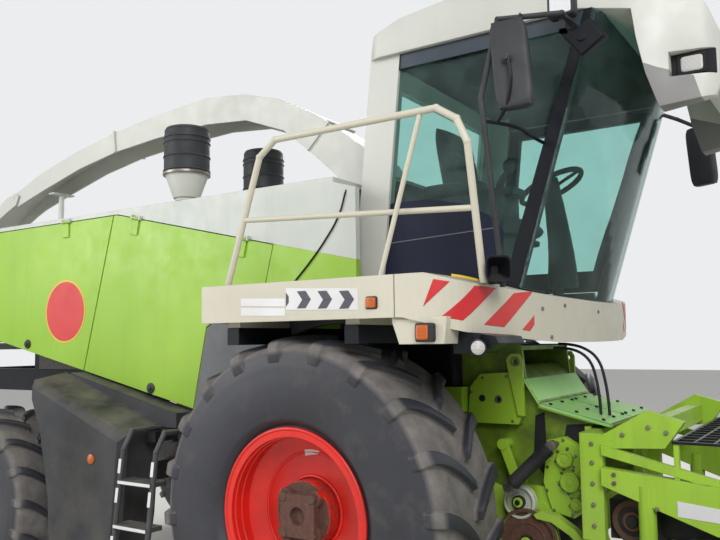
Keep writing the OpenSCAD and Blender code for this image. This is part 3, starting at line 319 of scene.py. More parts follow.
def setSky():
    # the sky gives one strength as light, and another where the camera, a shine or a pane shows it
    world = bpy.data.worlds.new("soft sky")
    bpy.context.scene.world = world
    world.use_nodes = True
    tree = world.node_tree
    ray = addNode(tree, "ShaderNodeLightPath").outputs
    seen = maths(tree, "MAXIMUM", ray["Is Camera Ray"], ray["Is Glossy Ray"])
    seen = maths(tree, "MAXIMUM", seen, ray["Is Transmission Ray"])
    inputs = {"Value": seen, "To Min": studio["lit"], "To Max": studio["seen"]}
    level = addNode(tree, "ShaderNodeMapRange", None, inputs).outputs[0]
    feed(tree, tree.nodes["Background"], {"Color": toLinear(studio["sky"]), "Strength": level})


def setFloorAndLamps():
    # a flat square floor, and area lamps turned to face what they aim at
    h = studio["floor half"]
    floorMat, tree, shader = newMaterial("pale studio floor")
    feed(tree, shader, {"Base Color": toLinear(studio["floor"]), "Roughness": 0.85})
    mesh = bpy.data.meshes.new("floor")
    mesh.from_pydata([(-h, -h, 0), (h, -h, 0), (h, h, 0), (-h, h, 0)], [], [(0, 1, 2, 3)])
    mesh.materials.append(floorMat)
    linked("floor", mesh)
    for name, place, aim, power, size in studio["lamps"]:
        data = bpy.data.lights.new(name, "AREA")
        data.energy, data.size = power, size
        lamp = linked(name, data)
        lamp.matrix_world = framed(turnTo(np.subtract(place, aim)), place)
        lamp.visible_transmission = False   # the panes show the sky, not the lamps


# materials

def objectPoint(tree):
    return addNode(tree, "ShaderNodeTexCoord").outputs["Object"]


def axisOf(tree, vector, axis):
    # one number of a vector: 0 for x, 1 for y, 2 for z
    return addNode(tree, "ShaderNodeSeparateXYZ", None, {0: vector}).outputs[axis]


def stretched(tree, scale):
    # Object coordinates in metres, stretched by the three numbers
    return addNode(tree, "ShaderNodeMapping", None, {"Vector": objectPoint(tree), "Scale": scale}).outputs[0]


def noise(tree, perMetre, detail=3.0, rough=0.55, vector=None):
    inputs = {"Vector": vector or objectPoint(tree), "Scale": perMetre, "Detail": detail, "Roughness": rough}
    return addNode(tree, "ShaderNodeTexNoise", None, inputs).outputs[0]


def ramp(tree, value, low, high, toLow=0.0, toHigh=1.0):
    # low..high mapped in a straight line to toLow..toHigh, and held beyond
    inputs = {"Value": value, "From Min": low, "From Max": high, "To Min": toLow, "To Max": toHigh}
    return addNode(tree, "ShaderNodeMapRange", {"clamp": True}, inputs).outputs[0]


def maths(tree, operation, a, b=0.5):
    return addNode(tree, "ShaderNodeMath", {"operation": operation}, {0: a, 1: b}).outputs[0]


def times(tree, a, b):
    return maths(tree, "MULTIPLY", a, b)


def mixed(tree, share, a, b):
    # colour a where share is 0, b where it is 1; each is a socket or a hex colour
    colours = [toLinear(colour) if isinstance(colour, str) else colour for colour in (a, b)]
    node = addNode(tree, "ShaderNodeMix", {"data_type": "RGBA"}, {0: share, 6: colours[0], 7: colours[1]})
    return node.outputs[2]


def roundedNormal(tree, radius):
    # the normal as if the edges were rounded by the radius
    return addNode(tree, "ShaderNodeBevel", {"samples": 4}, {"Radius": radius}).outputs[0]


def wornEdges(tree, rounded, perMetre):
    # where the rounded normal leaves the true one, broken up by noise
    true = addNode(tree, "ShaderNodeNewGeometry").outputs["Normal"]
    dot = addNode(tree, "ShaderNodeVectorMath", {"operation": "DOT_PRODUCT"}, {0: rounded, 1: true})
    edge = ramp(tree, dot.outputs["Value"], 0.99, 0.80)
    return times(tree, edge, ramp(tree, noise(tree, perMetre, 5.0), 0.47, 0.62))


def relief(tree, strength, depth, height, normal=None):
    # a height laid on the normal as a bump, its depth in metres
    inputs = {"Strength": strength, "Distance": depth, "Height": height}
    if normal:
        inputs["Normal"] = normal
    return addNode(tree, "ShaderNodeBump", None, inputs).outputs[0]


def lyingDust(tree, amount):
    # dust on faces that look up, more of it low down, in soft patches
    normal = addNode(tree, "ShaderNodeNewGeometry").outputs["Normal"]
    top = ramp(tree, axisOf(tree, normal, 2), 0.3, 0.95)
    low = ramp(tree, axisOf(tree, objectPoint(tree), 2), 1.6, 0.3, 0.0, 0.55)
    patches = ramp(tree, noise(tree, 5.0, 6.0), 0.35, 0.7)
    return times(tree, times(tree, maths(tree, "MAXIMUM", top, low), patches), amount)


usualPaint = {   # shares of fading, rain streaks, dust and chips; radius of worn edges in metres; roughness
    "fading": 0.8, "streaks": 0.08, "dust": 0.30, "chips": 0.6, "edge": 0.004, "gloss": 0.34,
}


def paintedSheet(name, colour, faded, dirt, under, **changes):
    # sprayed enamel on steel sheet: a smooth gloss with faint orange peel, faded patches, rain streaks,
    # dust, and chips at the edges that show what lies under it
    paint = {**usualPaint, **changes}
    mat, tree, shader = newMaterial(name)
    coat = mixed(tree, ramp(tree, noise(tree, 1.1, 2.0), 0.35, 0.7, 0.0, paint["fading"]), colour, faded)
    rain = noise(tree, 1.0, 5.0, 0.6, stretched(tree, (9.0, 9.0, 0.9)))
    coat = mixed(tree, ramp(tree, rain, 0.5, 0.8, 0.0, paint["streaks"]), coat, dirt)
    coat = mixed(tree, lyingDust(tree, paint["dust"]), coat, "#8E8775")
    rounded = roundedNormal(tree, paint["edge"])
    coat = mixed(tree, times(tree, wornEdges(tree, rounded, 18.0), paint["chips"]), coat, under)
    feed(tree, shader, {
        "Base Color": coat, "IOR": 1.5,
        "Roughness": ramp(tree, noise(tree, 9.0, 4.0), 0.3, 0.75, paint["gloss"], paint["gloss"] + 0.22),
        "Normal": relief(tree, 0.06, 0.002, noise(tree, 160.0, 2.0), rounded),
    })
    return mat


def recessShadeAndGrime(mat, inner, outer, share):
    # painted shade with oil and chaff grime, darkening what lies nearer the centre line than the outer
    # sheets, in patches
    tree = mat.node_tree
    shader = tree.nodes["Principled BSDF"]
    # darker towards the centre line, where the recessed plates lie in shade: painted shade mixed with grime
    deep = ramp(tree, maths(tree, "ABSOLUTE", axisOf(tree, objectPoint(tree), 1)), outer, inner)
    patch = ramp(tree, noise(tree, 7.0, 6.0, 0.6), 0.3, 0.6, 0.5, 1.0)
    painted = shader.inputs["Base Color"].links[0].from_socket
    shadeAndGrimeColour = mixed(tree, noise(tree, 16.0, 5.0), "#1C1D12", "#3F4420")
    darkPatches = times(tree, times(tree, deep, patch), share)
    feed(tree, shader, {"Base Color": mixed(tree, darkPatches, painted, shadeAndGrimeColour)})
    return mat


def mouldedPlastic(name, colour, faded, dust, rough):
    # injection-moulded plastic, rubber or film: a grain of 2.4 mm and finer, greyed by sun and dust
    mat, tree, shader = newMaterial(name)
    skin = mixed(tree, ramp(tree, noise(tree, 2.0, 4.0), 0.35, 0.7), colour, faded)
    feed(tree, shader, {
        "Base Color": mixed(tree, lyingDust(tree, dust), skin, "#8A8474"),
        "Roughness": ramp(tree, noise(tree, 12.0, 4.0), 0.3, 0.7, rough, rough + 0.15),
        "Normal": relief(tree, 0.12, 0.001, noise(tree, 420.0, 3.0), roundedNormal(tree, 0.003)),
    })
    return mat


def bareMetal(name, kind):
    # cast or rolled metal, with its own share of rust in patches
    mat, tree, shader = newMaterial(name)
    rust = ramp(tree, noise(tree, kind["patches"], 8.0, 0.65), kind["rust from"], kind["rust from"] + 0.12)
    colour = mixed(tree, ramp(tree, noise(tree, 30.0, 4.0), 0.3, 0.7), kind["colour"], kind["second"])
    feed(tree, shader, {
        "Base Color": mixed(tree, rust, colour, mixed(tree, noise(tree, 40.0, 5.0), "#3A2820", "#6A4838")),
        "Metallic": maths(tree, "SUBTRACT", kind["metal"], times(tree, rust, kind["metal"])),
        "Roughness": ramp(tree, rust, 0.0, 1.0, kind["rough"], 0.85),
        "Normal": relief(tree, kind["grain"], 0.002, noise(tree, 90.0, 6.0), roundedNormal(tree, 0.003)),
    })
    return mat


def fromAxle(tree, x, z):
    # distance from a wheel's axis, in metres: the root of (x - x0)^2 + (z - z0)^2
    point = objectPoint(tree)
    dx = maths(tree, "SUBTRACT", axisOf(tree, point, 0), axleX + x)
    dz = maths(tree, "SUBTRACT", axisOf(tree, point, 2), z)
    return maths(tree, "SQRT", maths(tree, "ADD", times(tree, dx, dx), times(tree, dz, dz)))


def tyreRubber(name, x, z, crown):
    # vulcanised carbon-black rubber: dull, wiped dark on the lugs, with pale earth dried in the grooves
    mat, tree, shader = newMaterial(name)
    colour = mixed(tree, ramp(tree, noise(tree, 2.2, 4.0), 0.35, 0.7), "#24252B", "#303138")
    away = fromAxle(tree, x, z)
    foot = ramp(tree, away, crown - 0.055, crown - 0.03)
    groove = times(tree, foot, ramp(tree, away, crown + 0.02, crown + 0.004))
    earth = times(tree, groove, ramp(tree, noise(tree, 9.0, 6.0, 0.6), 0.25, 0.62, 0.35, 0.95))
    patches = times(tree, ramp(tree, noise(tree, 6.0, 7.0, 0.65), 0.55, 0.78), 0.22)
    earth = maths(tree, "MAXIMUM", earth, patches)
    feed(tree, shader, {
        "Base Color": mixed(tree, earth, colour, "#75706C"),
        "Roughness": ramp(tree, earth, 0.0, 0.6, 0.5, 0.9),
        "Normal": relief(tree, 0.2, 0.002, noise(tree, 70.0, 5.0), roundedNormal(tree, 0.005)),
    })
    return mat


def rimPaint(name, x, z, rusty):
    # red enamel on a pressed rim, with dirty patches, and bare rusty iron within the hub's radius
    mat, tree, shader = newMaterial(name)
    colour = mixed(tree, ramp(tree, noise(tree, 1.6, 3.0), 0.35, 0.7), "#C81A12", "#DA2A1E")
    darkPatches = times(tree, ramp(tree, noise(tree, 7.0, 6.0), 0.5, 0.75), 0.35)
    colour = mixed(tree, darkPatches, colour, "#7A2A1C")
    away = maths(tree, "ADD", fromAxle(tree, x, z), times(tree, noise(tree, 26.0, 4.0), 0.02))
    bare = ramp(tree, away, rusty + 0.012, rusty + 0.004)
    feed(tree, shader, {
        "Base Color": mixed(tree, bare, colour, mixed(tree, noise(tree, 38.0, 5.0), "#33211B", "#6E4A3E")),
        "Roughness": ramp(tree, bare, 0.0, 1.0, 0.34, 0.85),
        "Normal": relief(tree, 0.1, 0.002, noise(tree, 90.0, 4.0), roundedNormal(tree, 0.005)),
    })
    return mat


def tintedGlass():
    # laminated float glass, tinted green: clear and mirror smooth, with a thin film of dust in soft patches
    mat, tree, shader = newMaterial("tinted laminated glass")
    dust = ramp(tree, noise(tree, 4.0, 5.0), 0.45, 0.8, 0.0, 0.05)
    feed(tree, shader, {
        "Base Color": mixed(tree, dust, "#C6E8E2", "#A7AA9F"), "Roughness": 0.0,
        "Transmission Weight": maths(tree, "SUBTRACT", 0.985, dust),
        "IOR": 1.02,   # thin panes: the bend of each sheet is left out
        "Coat Weight": 0.3, "Coat Roughness": 0.02,
    })
    return mat


def ribs(tree, direction):
    # a wave along one axis with a crest every 6 mm
    inputs = {"Vector": objectPoint(tree), "Scale": 52.0}
    return addNode(tree, "ShaderNodeTexWave", {"bands_direction": direction}, inputs).outputs[1]


def lensPlastic(name, colour, between):
    # moulded acrylic lens with fine ribs 6 mm apart
    mat, tree, shader = newMaterial(name)
    wave = ribs(tree, "Z")
    feed(tree, shader, {
        "Base Color": mixed(tree, times(tree, wave, 0.35), colour, between),
        "Roughness": 0.12, "Normal": relief(tree, 0.3, 0.002, wave),
    })
    return mat


def wovenSeatCloth():
    # woven polyester, its threads crossing every 6 mm, coarse so that they show
    mat, tree, shader = newMaterial("woven seat cloth")
    weave = maths(tree, "MAXIMUM", ribs(tree, "X"), ribs(tree, "Z"))
    feed(tree, shader, {
        "Base Color": mixed(tree, weave, "#1D1F22", "#3A3D42"), "Roughness": 0.9, "Sheen Weight": 0.3,
        "Normal": relief(tree, 0.4, 0.002, weave),
    })
    return mat


setCamera()
setSky()
setFloorAndLamps()
bpy.context.scene.view_settings.view_transform = "Standard"
print("camera, floor and light set")

# paints: colour, faded, dirt, what shows under the chips, and what differs from the usual paint
limePaint = paintedSheet("lime enamel on steel", "#85B01E", "#98BE3A", "#4F5A26", "#5A4A34",
                         fading=0.7, streaks=0.10, dust=0.35, chips=0.75, gloss=0.30)
mintPaint = paintedSheet("light lime enamel on steel", "#8FCB6C", "#A9DB8C", "#6E7A52", "#6B5A40",
                         dust=0.25, chips=0.7)
creamPaint = paintedSheet("cream enamel on steel", "#BDB8A6", "#C8C3B2", "#857D69", "#6E6250", gloss=0.32)
darkPaint = paintedSheet("dark grey enamel on steel", "#303236", "#45474B", "#56503F", "#5E4A38",
                         fading=0.7, dust=0.5, gloss=0.42)
palePaint = paintedSheet("pale grey enamel on steel", "#B4B9B3", "#C3C7C0", "#77745F", "#6E6250",
                         streaks=0.12, dust=0.35)
greyCream = paintedSheet("greyed cream enamel on moulded sheet", "#B9BAB2", "#C6C7C0", "#86836F", "#6E6A60",
                         streaks=0.10, chips=0.5)
bandBlack = paintedSheet("black enamel on steel", "#121419", "#1D1F26", "#3A3833", "#4A4640",
                         fading=0.7, streaks=0.06, dust=0.25, chips=0.4, edge=0.003, gloss=0.28)
gearLime = paintedSheet("yellow-green enamel on castings", "#93BE24", "#A8CC48", "#4A4A2A", "#4E3B28",
                        streaks=0.30, dust=0.45, chips=0.9, edge=0.005, gloss=0.36)
# the housing's plates, with painted shade and grime darkening their recess
housingLime = recessShadeAndGrime(paintedSheet("oily yellow-green enamel on plate", "#8DB622", "#A0C442", "#3E3F22",
                                      "#4E3B28", streaks=0.35, dust=0.45, chips=0.9, edge=0.005, gloss=0.36),
                         inner=0.395, outer=0.422, share=0.78)
printedGlass = paintedSheet("black-printed edge of the glass", "#333C44", "#414C55", "#5B5F5D", "#2A2E33",
                            fading=0.6, streaks=0.05, dust=0.1, chips=0.1, edge=0.002, gloss=0.10)

# plastics, rubber and films: colour, faded, dust, roughness
blackPlastic = mouldedPlastic("black moulded plastic", "#26272A", "#3A3B3E", 0.4, 0.5)
greyPlastic = mouldedPlastic("grey moulded plastic", "#5B5D60", "#6F7173", 0.35, 0.5)
softRubber = mouldedPlastic("extruded black rubber", "#17181A", "#26272A", 0.25, 0.6)
# a darker grey on the visor's underside: painted shade
visorUndersideShade = mouldedPlastic("grey moulded plastic, painted shade under the visor", "#7B7A79", "#8A8987", 0.1, 0.6)
# a navy sheet inside the side pane: painted shade of the cab's inside
cabInsideShade = mouldedPlastic("navy sheet, painted shade of the cab's inside", "#171B29", "#20253A", 0.0, 0.3)
whiteFilm = mouldedPlastic("white reflective film", "#D9D9DC", "#C9C7C4", 0.12, 0.35)
yellowFilm = mouldedPlastic("yellow adhesive film", "#D9B83A", "#C9A83A", 0.1, 0.4)
darkFilm = mouldedPlastic("dark printed film", "#3A3842", "#4A4852", 0.1, 0.4)
redFilm = mouldedPlastic("red adhesive film", "#BE1F22", "#C93A35", 0.08, 0.35)

castIron = bareMetal("sand-cast iron", {
    "colour": "#3B3A38", "second": "#55524D", "patches": 5.0, "rust from": 0.56, "metal": 0.35, "rough": 0.6,
    "grain": 0.3})
rustyIron = bareMetal("rusted cast iron", {
    "colour": "#4C4038", "second": "#60493A", "patches": 6.0, "rust from": 0.38, "metal": 0.3, "rough": 0.7,
    "grain": 0.45})
wornSteel = bareMetal("crop-polished steel", {
    "colour": "#77746E", "second": "#908C84", "patches": 3.0, "rust from": 0.52, "metal": 0.9, "rough": 0.38,
    "grain": 0.15})
groundRod = bareMetal("ground and chromed rod", {
    "colour": "#C9CACB", "second": "#D8D9DA", "patches": 4.0, "rust from": 0.80, "metal": 1.0, "rough": 0.14,
    "grain": 0.02})

# wheels: x and z of the axis, then the crown's radius or that of the bare hub
frontRubber = tyreRubber("vulcanised tyre rubber, front", 0.0, 0.895, 0.85)
rearRubber = tyreRubber("vulcanised tyre rubber, rear", -2.91, 0.66, 0.615)
frontRim = rimPaint("red enamel on pressed steel, front", 0.0, 0.895, 0.166)
rearRim = rimPaint("red enamel on pressed steel, rear", -2.91, 0.66, 0.112)

glass = tintedGlass()
amber = lensPlastic("amber acrylic lens", "#C4601E", "#20150A")
smokedLens = lensPlastic("dusty acrylic lens", "#A3A09C", "#FFFFFF")
clearLens = lensPlastic("clear fluted acrylic lens", "#C9CDD0", "#FFFFFF")
cloth = wovenSeatCloth()

# dusty, so they shine less than clean paint
shines = ((bandBlack, 0.2), (cabInsideShade, 0.15), (softRubber, 0.25), (blackPlastic, 0.3), (printedGlass, 0.5),
          (darkPaint, 0.35))
for dull, shine in shines:
    dull.node_tree.nodes["Principled BSDF"].inputs["Specular IOR Level"].default_value = shine
print("materials made")


# CAD nodes take their finishes

finishes = (   # each material with its nodes
    # the chassis frame takes black enamel: its dark paint taken down to black as painted shade under the
    # walkways
    (bandBlack, "chassis_frame cab_frame cab_door spout_barrel mesh_guard"),
    (blackPlastic, "controls rear_grille mirrors side_boxes air_cleaners"),
    (castIron, "front_axle rear_axle knuckle_r knuckle_l engine_block"),
    (frontRim, "rim_fr rim_fl"), (rearRim, "rim_rr rim_rl"),
    (frontRubber, "tyre_fr tyre_fl"), (rearRubber, "tyre_rr tyre_rl"), (palePaint, "upper_body"),
    (limePaint, "side_door_fr side_door_rr side_door_fl side_door_rl fixed_panels"),
    (creamPaint, "walkways front_fascia handrails"),
    (greyCream, "cab_shell cab_roof spout_turret spout_arch spout_flap"),
    (glass, "cab_glass door_glass"), (cloth, "seat"), (rustyIron, "exhaust"),
    (groundRod, "spout_rod lift_rods"),
    (darkPaint, "ladders crop_channel lift_barrels"), (housingLime, "feeder_housing"),
    (gearLime, "header_drive header_frame"), (wornSteel, "rotor_r rotor_l"), (amber, "lamps"),
    (greyPlastic, "arch_panels"), (clearLens, "work_lamps"),
)
finishOf = {node: material for material, names in finishes for node in names.split()}
for node, obj in nodes.items():
    obj.data.materials.clear()
    obj.data.materials.append(finishOf[node])
print("finishes on the frame:", len(finishOf))


# tyres and wheels

tyreSizes = (
    {   # metres: over the lugs, section width, bead, lug height, lugs on a half tread, place of the wheel's
        # middle, disc's offset, hub's radius, and the hub's face with its ring of nuts
        "ends": ("fr", "fl"), "rubber": frontRubber, "paint": frontRim, "across": 1.790, "width": 0.645,
        "bead": 0.810, "lug": 0.045, "lugs": 20, "x": 0.0, "y": 1.112, "z": 0.895,
        "disc": 0.095, "hub": 0.165, "face": 0.180, "nut ring": 0.142, "nuts": 10},
    {
        "ends": ("rr", "rl"), "rubber": rearRubber, "paint": rearRim, "across": 1.320, "width": 0.480,
        "bead": 0.610, "lug": 0.045, "lugs": 18, "x": -2.910, "y": 1.112, "z": 0.660,
        "disc": 0.070, "hub": 0.110, "face": 0.140, "nut ring": 0.082, "nuts": 8},
)
frontSize, rearSize = tyreSizes
wheels = [(end, side, size) for size in tyreSizes for end, side in zip(size["ends"], (-1, 1))]


def roundWheel(size, side, r, a, t):
    # wheel coordinates to the axle frame: radius r, angle t from forwards towards up, offset a outwards
    y = side * (size["y"] + a)
    return np.stack([size["x"] + r * np.cos(t), y + 0 * t, size["z"] + r * np.sin(t)], -1)


def carcass(size, side):
    # the section goes round the axle: a smooth curve from bead to shoulder, with two thin raised rings
    # as bell curves of the radius, and a plain inside
    c, s, h = size["across"] / 2 - size["lug"], size["bead"] / 2, size["width"] / 2
    b, deep = 0.81 * h, c - s
    knots = [[s + 0.042, b], [s + 0.2 * deep, 0.95 * h], [s + 0.42 * deep, h], [s + 0.68 * deep, 0.985 * h],
             [c - 0.045, 0.935 * h], [c - 0.012, 0.85 * h], [c, 0.70 * h]]
    wall = smoothPath(knots, 44)
    for at, height in ((s + 0.075, 0.003), (c - 0.112, 0.0035)):
        wall[:, 1] += height * np.exp(-((wall[:, 0] - at) / 0.006) ** 2)
    wall[:, 1] = np.minimum(wall[:, 1], h)
    outer = np.vstack([[[s, b - 0.045], [s, b]], wall])
    inner = [[s, b - 0.045], [s + 0.05, b - 0.04], [s + 0.42 * deep, h - 0.04], [c - 0.045, 0.7 * h]]
    inner = np.array(inner)
    section = np.vstack([outer, outer[::-1] * (1, -1), inner[1:] * (1, -1), inner[:0:-1]])
    t = np.linspace(0, 2 * np.pi, 160, endpoint=False)
    points = roundWheel(size, side, section[:, None, 0], section[:, None, 1], t[None])
    return points.reshape(-1, 3), gridFaces(len(section), len(t), closedRows=True, closedCols=True)


lugs = {   # along a lug from the middle of the tread to the shoulder, as shares of the half width and metres
    "top": np.array([0.0, 0.03, 0.12, 0.24, 0.38, 0.52, 0.66, 0.79, 0.885, 0.945, 0.98, 0.992, 0.97]),
    "foot": np.array([0.0, 0.03, 0.12, 0.24, 0.38, 0.52, 0.66, 0.77, 0.84, 0.88, 0.90, 0.92, 0.94]),
    # how far the top lies below the full height, its tip below the carcass, and the foot below it
    "worn": np.array([0.001, 0.001, 0.002, 0.004, 0.007, 0.011, 0.017, 0.024, 0.036]),
    "tip": np.array([0.012, 0.050, 0.088]),
    "sunk": np.array([0.014] * 7 + [0.02, 0.026, 0.038, 0.052, 0.072, 0.092]),
    # across the lug: its height as a share, and its places as shares of half its width
    "rise": np.array([0.0, 0.80, 0.97, 1.0, 1.0, 0.97, 0.80, 0.0]),
    "across": np.array([-1, -1, -0.97, -0.80, 0.80, 0.97, 1, 1]),
    "widths": ([0, 0.5, 1.0], [0.036, 0.050, 0.064]), "flare": 0.016, "lean": 0.27, "power": 1.8,
}


def treadLugs(size, side):
    # each lug is a grid along its length and across its width. Its line leans back to the shoulder by
    # 0.27 h (2 (1 - (1 - u)^1.8) - 1), and its flanks spread by 16 mm towards the foot
    c, d, h = size["across"] / 2 - size["lug"], size["across"] / 2, size["width"] / 2
    u, rise = lugs["top"], lugs["rise"]
    topR = np.r_[c - lugs["tip"][0], d - lugs["worn"], c - lugs["tip"]]
    footR = c - lugs["sunk"]
    lean = lugs["lean"] * h * (2 * (1 - (1 - u) ** lugs["power"]) - 1)
    wide = np.interp(u, *lugs["widths"]) * size["width"] / frontSize["width"]
    flare = lugs["flare"] * (1 - rise) * np.sign(lugs["across"])
    r = footR[:, None] + (topR - footR)[:, None] * rise
    a = h * (lugs["foot"][:, None] + (u - lugs["foot"])[:, None] * rise)
    sideways = lean[:, None] + wide[:, None] / 2 * lugs["across"] + flare
    faces = gridFaces(len(u), len(rise)) + endFaces(len(rise), (len(u) - 1) * len(rise))
    n = size["lugs"]
    parts = []
    for half, shift in ((1, 0), (-1, np.pi / n)):
        t = (np.arange(n) * 2 * np.pi / n + shift)[:, None, None] + (sideways / c)[None]
        points = roundWheel(size, side, np.broadcast_to(r, t.shape), np.broadcast_to(half * a, t.shape), t)
        parts += [(lug.reshape(-1, 3), faces) for lug in points]
    return joined(parts)


for end, side, size in wheels:
    tread = joined([carcass(size, side), treadLugs(size, side)])
    tyre = newMesh("tread_" + end, tread, size["rubber"], "wheel_" + end, 40)
    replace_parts(tyre, "tyre_" + end)


def wheelRings(size, side):
    # round beads (radius, offset, thickness) turned about the axle: the flange's lip, two rolled steps in
    # the drum, a pressed ring on the disc and one round the hub
    s, b, disc, hub = size["bead"] / 2, 0.81 * size["width"] / 2, size["disc"], size["hub"]
    beads = ((s + 0.026, b + 0.012, 0.009), (s - 0.015, b - 0.015, 0.007),
             (s - 0.015, (b + disc) / 2 + 0.02, 0.007), (0.55 * s + 0.45 * hub, disc, 0.008),
             (hub + 0.012, disc + 0.002, 0.010))
    small, ring = aroundCircle(12), np.linspace(0, 2 * np.pi, 96, endpoint=False)
    faces = gridFaces(12, 96, closedRows=True, closedCols=True)
    parts = []
    for r, a, thick in beads:
        r, a = r + thick * small[:, :1], a + thick * small[:, 1:]
        parts.append((roundWheel(size, side, r, a, ring[None]).reshape(-1, 3), faces))
    return joined(parts)


def onCircle(centre, radius, angles):
    # places on a circle square to Y
    return [centre + radius * np.array([math.cos(t), 0, math.sin(t)]) for t in angles]


hubs = {   # metres from the wheel's middle: how far out the large bolts and the plate lie, the bolts' circle
    "bolts out": 0.215, "plate out": 0.2, "bolt ring": 0.125,
    # width and height of the heads, and profiles (r, h)
    "bolt": (0.050, 0.022), "front nut": (0.030, 0.03), "rear nut": (0.032, 0.02),
    "plate": [[0, 0], [0.046, 0], [0.046, 0.004], [0, 0.004]],
    "cap": [[0.001, 0], [0.06, 0], [0.055, 0.03], [0.001, 0.034]],
}


def hubBolts(size, side):
    # a front hub has four large bolts, every third nut and a plate; a rear hub has its nuts and a cap
    out = np.array([0, side, 0])
    hub = np.array([size["x"], side * size["y"], size["z"]])
    face = hub + out * size["face"]
    nuts = onCircle(face, size["nut ring"], np.arange(size["nuts"]) * 2 * np.pi / size["nuts"] + 0.2)
    if size is rearSize:
        return joined([boltHeads(nuts, out, *hubs["rear nut"]), revolved(hubs["cap"], face, out, 32)])
    large = onCircle(hub + out * hubs["bolts out"], hubs["bolt ring"], np.arange(4) * np.pi / 2 + np.pi / 4)
    return joined([
        boltHeads(large, out, *hubs["bolt"]), boltHeads(nuts[1::3], out, *hubs["front nut"]),
        revolved(hubs["plate"], hub + out * hubs["plate out"], out, 32)])


for end, side, size in wheels:
    newMesh("rim_rings_" + end, wheelRings(size, side), size["paint"], "wheel_" + end)
    newMesh("hub_bolts_" + end, hubBolts(size, side), rustyIron, "wheel_" + end)

# the label's corners from the middle of the front right wheel: x, z and how far out
labelAt = ((-0.045, 0.275, 0.100), (0.045, 0.290, 0.100), (0.042, 0.325, 0.102), (-0.048, 0.310, 0.102))
corners = [(x, -(frontSize["y"] + out), frontSize["z"] + z) for x, z, out in labelAt]
newMesh("wheel_label", slab(corners, toRight, filmThick), whiteFilm, "wheel_fr")
print("tyres and wheels made")


# fascia

nose = {   # metres, as in the CAD: the foremost point, radii of the bow and the corner, half the width, where
    # the corner starts, and the rear end
    "front": 1.120, "bow": 4.8, "corner": 0.220, "half": 1.45, "start": 0.646, "back": -0.55}


def nosePlan():
    # the straight side, the corner arc and the front arc as points (x, y) with their arc lengths
    bend = math.asin((nose["half"] - nose["corner"]) / (nose["bow"] - nose["corner"]))
    a = np.linspace(-np.pi / 2, -bend, 24)
    far = nose["bow"] - nose["corner"]
    corner = np.stack([nose["front"] - nose["bow"] + far * math.cos(bend) + nose["corner"] * np.cos(a),
                       -far * math.sin(bend) + nose["corner"] * np.sin(a)], -1)
    b = np.linspace(-bend, bend, 90)
    bow = np.stack([nose["front"] - nose["bow"] * (1 - np.cos(b)), nose["bow"] * np.sin(b)], -1)
    points = np.vstack([[(nose["back"], -nose["half"])], [(nose["start"], -nose["half"])], corner, bow[1:]])
    run = np.r_[0, np.cumsum(np.linalg.norm(np.diff(points, axis=0), axis=1))]
    return points, run - run[1]


planPoints, planRun = nosePlan()


def onPlan(s):
    # x and y at the arc length s
    return np.interp(s, planRun, planPoints[:, 0]), np.interp(s, planRun, planPoints[:, 1])


def onFascia(s, z, proud):
    # a point s along the fascia from the start of its corner, at height z, lifted proud along the normal,
    # which is the plan's direction over 8 mm turned by a quarter
    step = 0.004
    (x, y), (x0, y0), (x1, y1) = onPlan(s), onPlan(s - step), onPlan(s + step)
    dx, dy = x1 - x0, y1 - y0
    n = np.hypot(dx, dy)
    return np.stack([x + proud * dy / n, y - proud * dx / n, z + 0 * x], -1)


def film(corners, proud=0.0012):
    # four corners (s, z) filled as a bilinear grid laid on the fascia, from just inside it to a little proud
    rows, cols = 14, 6
    q = np.asarray(corners, float)
    u, v = np.meshgrid(np.linspace(0, 1, rows), np.linspace(0, 1, cols), indexing="ij")
    shares = ((1 - u) * (1 - v), u * (1 - v), u * v, (1 - u) * v)
    s, z = sum(share.ravel()[:, None] * corner for share, corner in zip(shares, q)).T
    n = rows * cols
    faces = gridFaces(rows, cols)
    back = [[i + n for i in face[::-1]] for face in faces]
    rim = list(range(cols)) + [cols * i + cols - 1 for i in range(1, rows)]
    rim += [n - cols + i for i in range(cols - 2, -1, -1)] + [cols * i for i in range(rows - 2, 0, -1)]
    sides = [[a, b, b + n, a + n] for a, b in zip(rim, rim[1:] + rim[:1])]
    return np.vstack([onFascia(s, z, proud), onFascia(s, z, -0.002)]), faces + back + sides


fasciaFilms = {   # each as four corners (s, z) in metres on the right; the left has their mirror images
    "stripes": [
        [(0.188, 2.019), (0.261, 2.007), (0.201, 1.953), (0.141, 1.900)],
        [(0.400, 1.992), (0.554, 1.987), (0.322, 1.836), (0.217, 1.852)],
        [(0.696, 1.968), (0.865, 1.984), (0.609, 1.808), (0.461, 1.819)],
        [(0.868, 1.865), (0.866, 1.821), (0.825, 1.790), (0.759, 1.796)]],
    "plates": [
        [(-0.917, 1.978), (-0.628, 1.966), (-0.628, 1.926), (-0.917, 1.938)],
        [(-0.917, 1.930), (-0.628, 1.918), (-0.628, 1.880), (-0.917, 1.888)],
        [(-0.621, 2.017), (-0.196, 1.996), (-0.197, 1.895), (-0.622, 1.909)]],
    "half arrow": [(-0.621, 1.995), (-0.604, 1.975), (-0.604, 1.945), (-0.621, 1.925)],
    "yellow": [(0.270, 2.042), (0.500, 2.014), (0.500, 2.004), (0.270, 2.030)],   # on the right only
    "screws": ((1.197, 1.922), (1.036, 1.759), (1.70, 1.90), (0.95, 1.90)),
}
arrow = {"places": ((0.093, 1.956), (0.218, 1.951), (0.343, 1.946)), "half high": 0.042, "long": 0.085,
         "band": 0.62, "proud": 0.0022}   # x and middle z of each, and a band's share of the length


def arrowOn(x, middle):
    # a chevron pointing forwards, as two slanted bands that meet
    s, long, high = x - nose["start"], arrow["long"], arrow["half high"]
    notch, band = s + (1 - arrow["band"]) * long, s + arrow["band"] * long
    up = [(s, middle + high), (band, middle + high), (s + long, middle), (notch, middle)]
    down = [(notch, middle), (s + long, middle), (band, middle - high), (s, middle - high)]
    return [film(up, arrow["proud"]), film(down, arrow["proud"])]


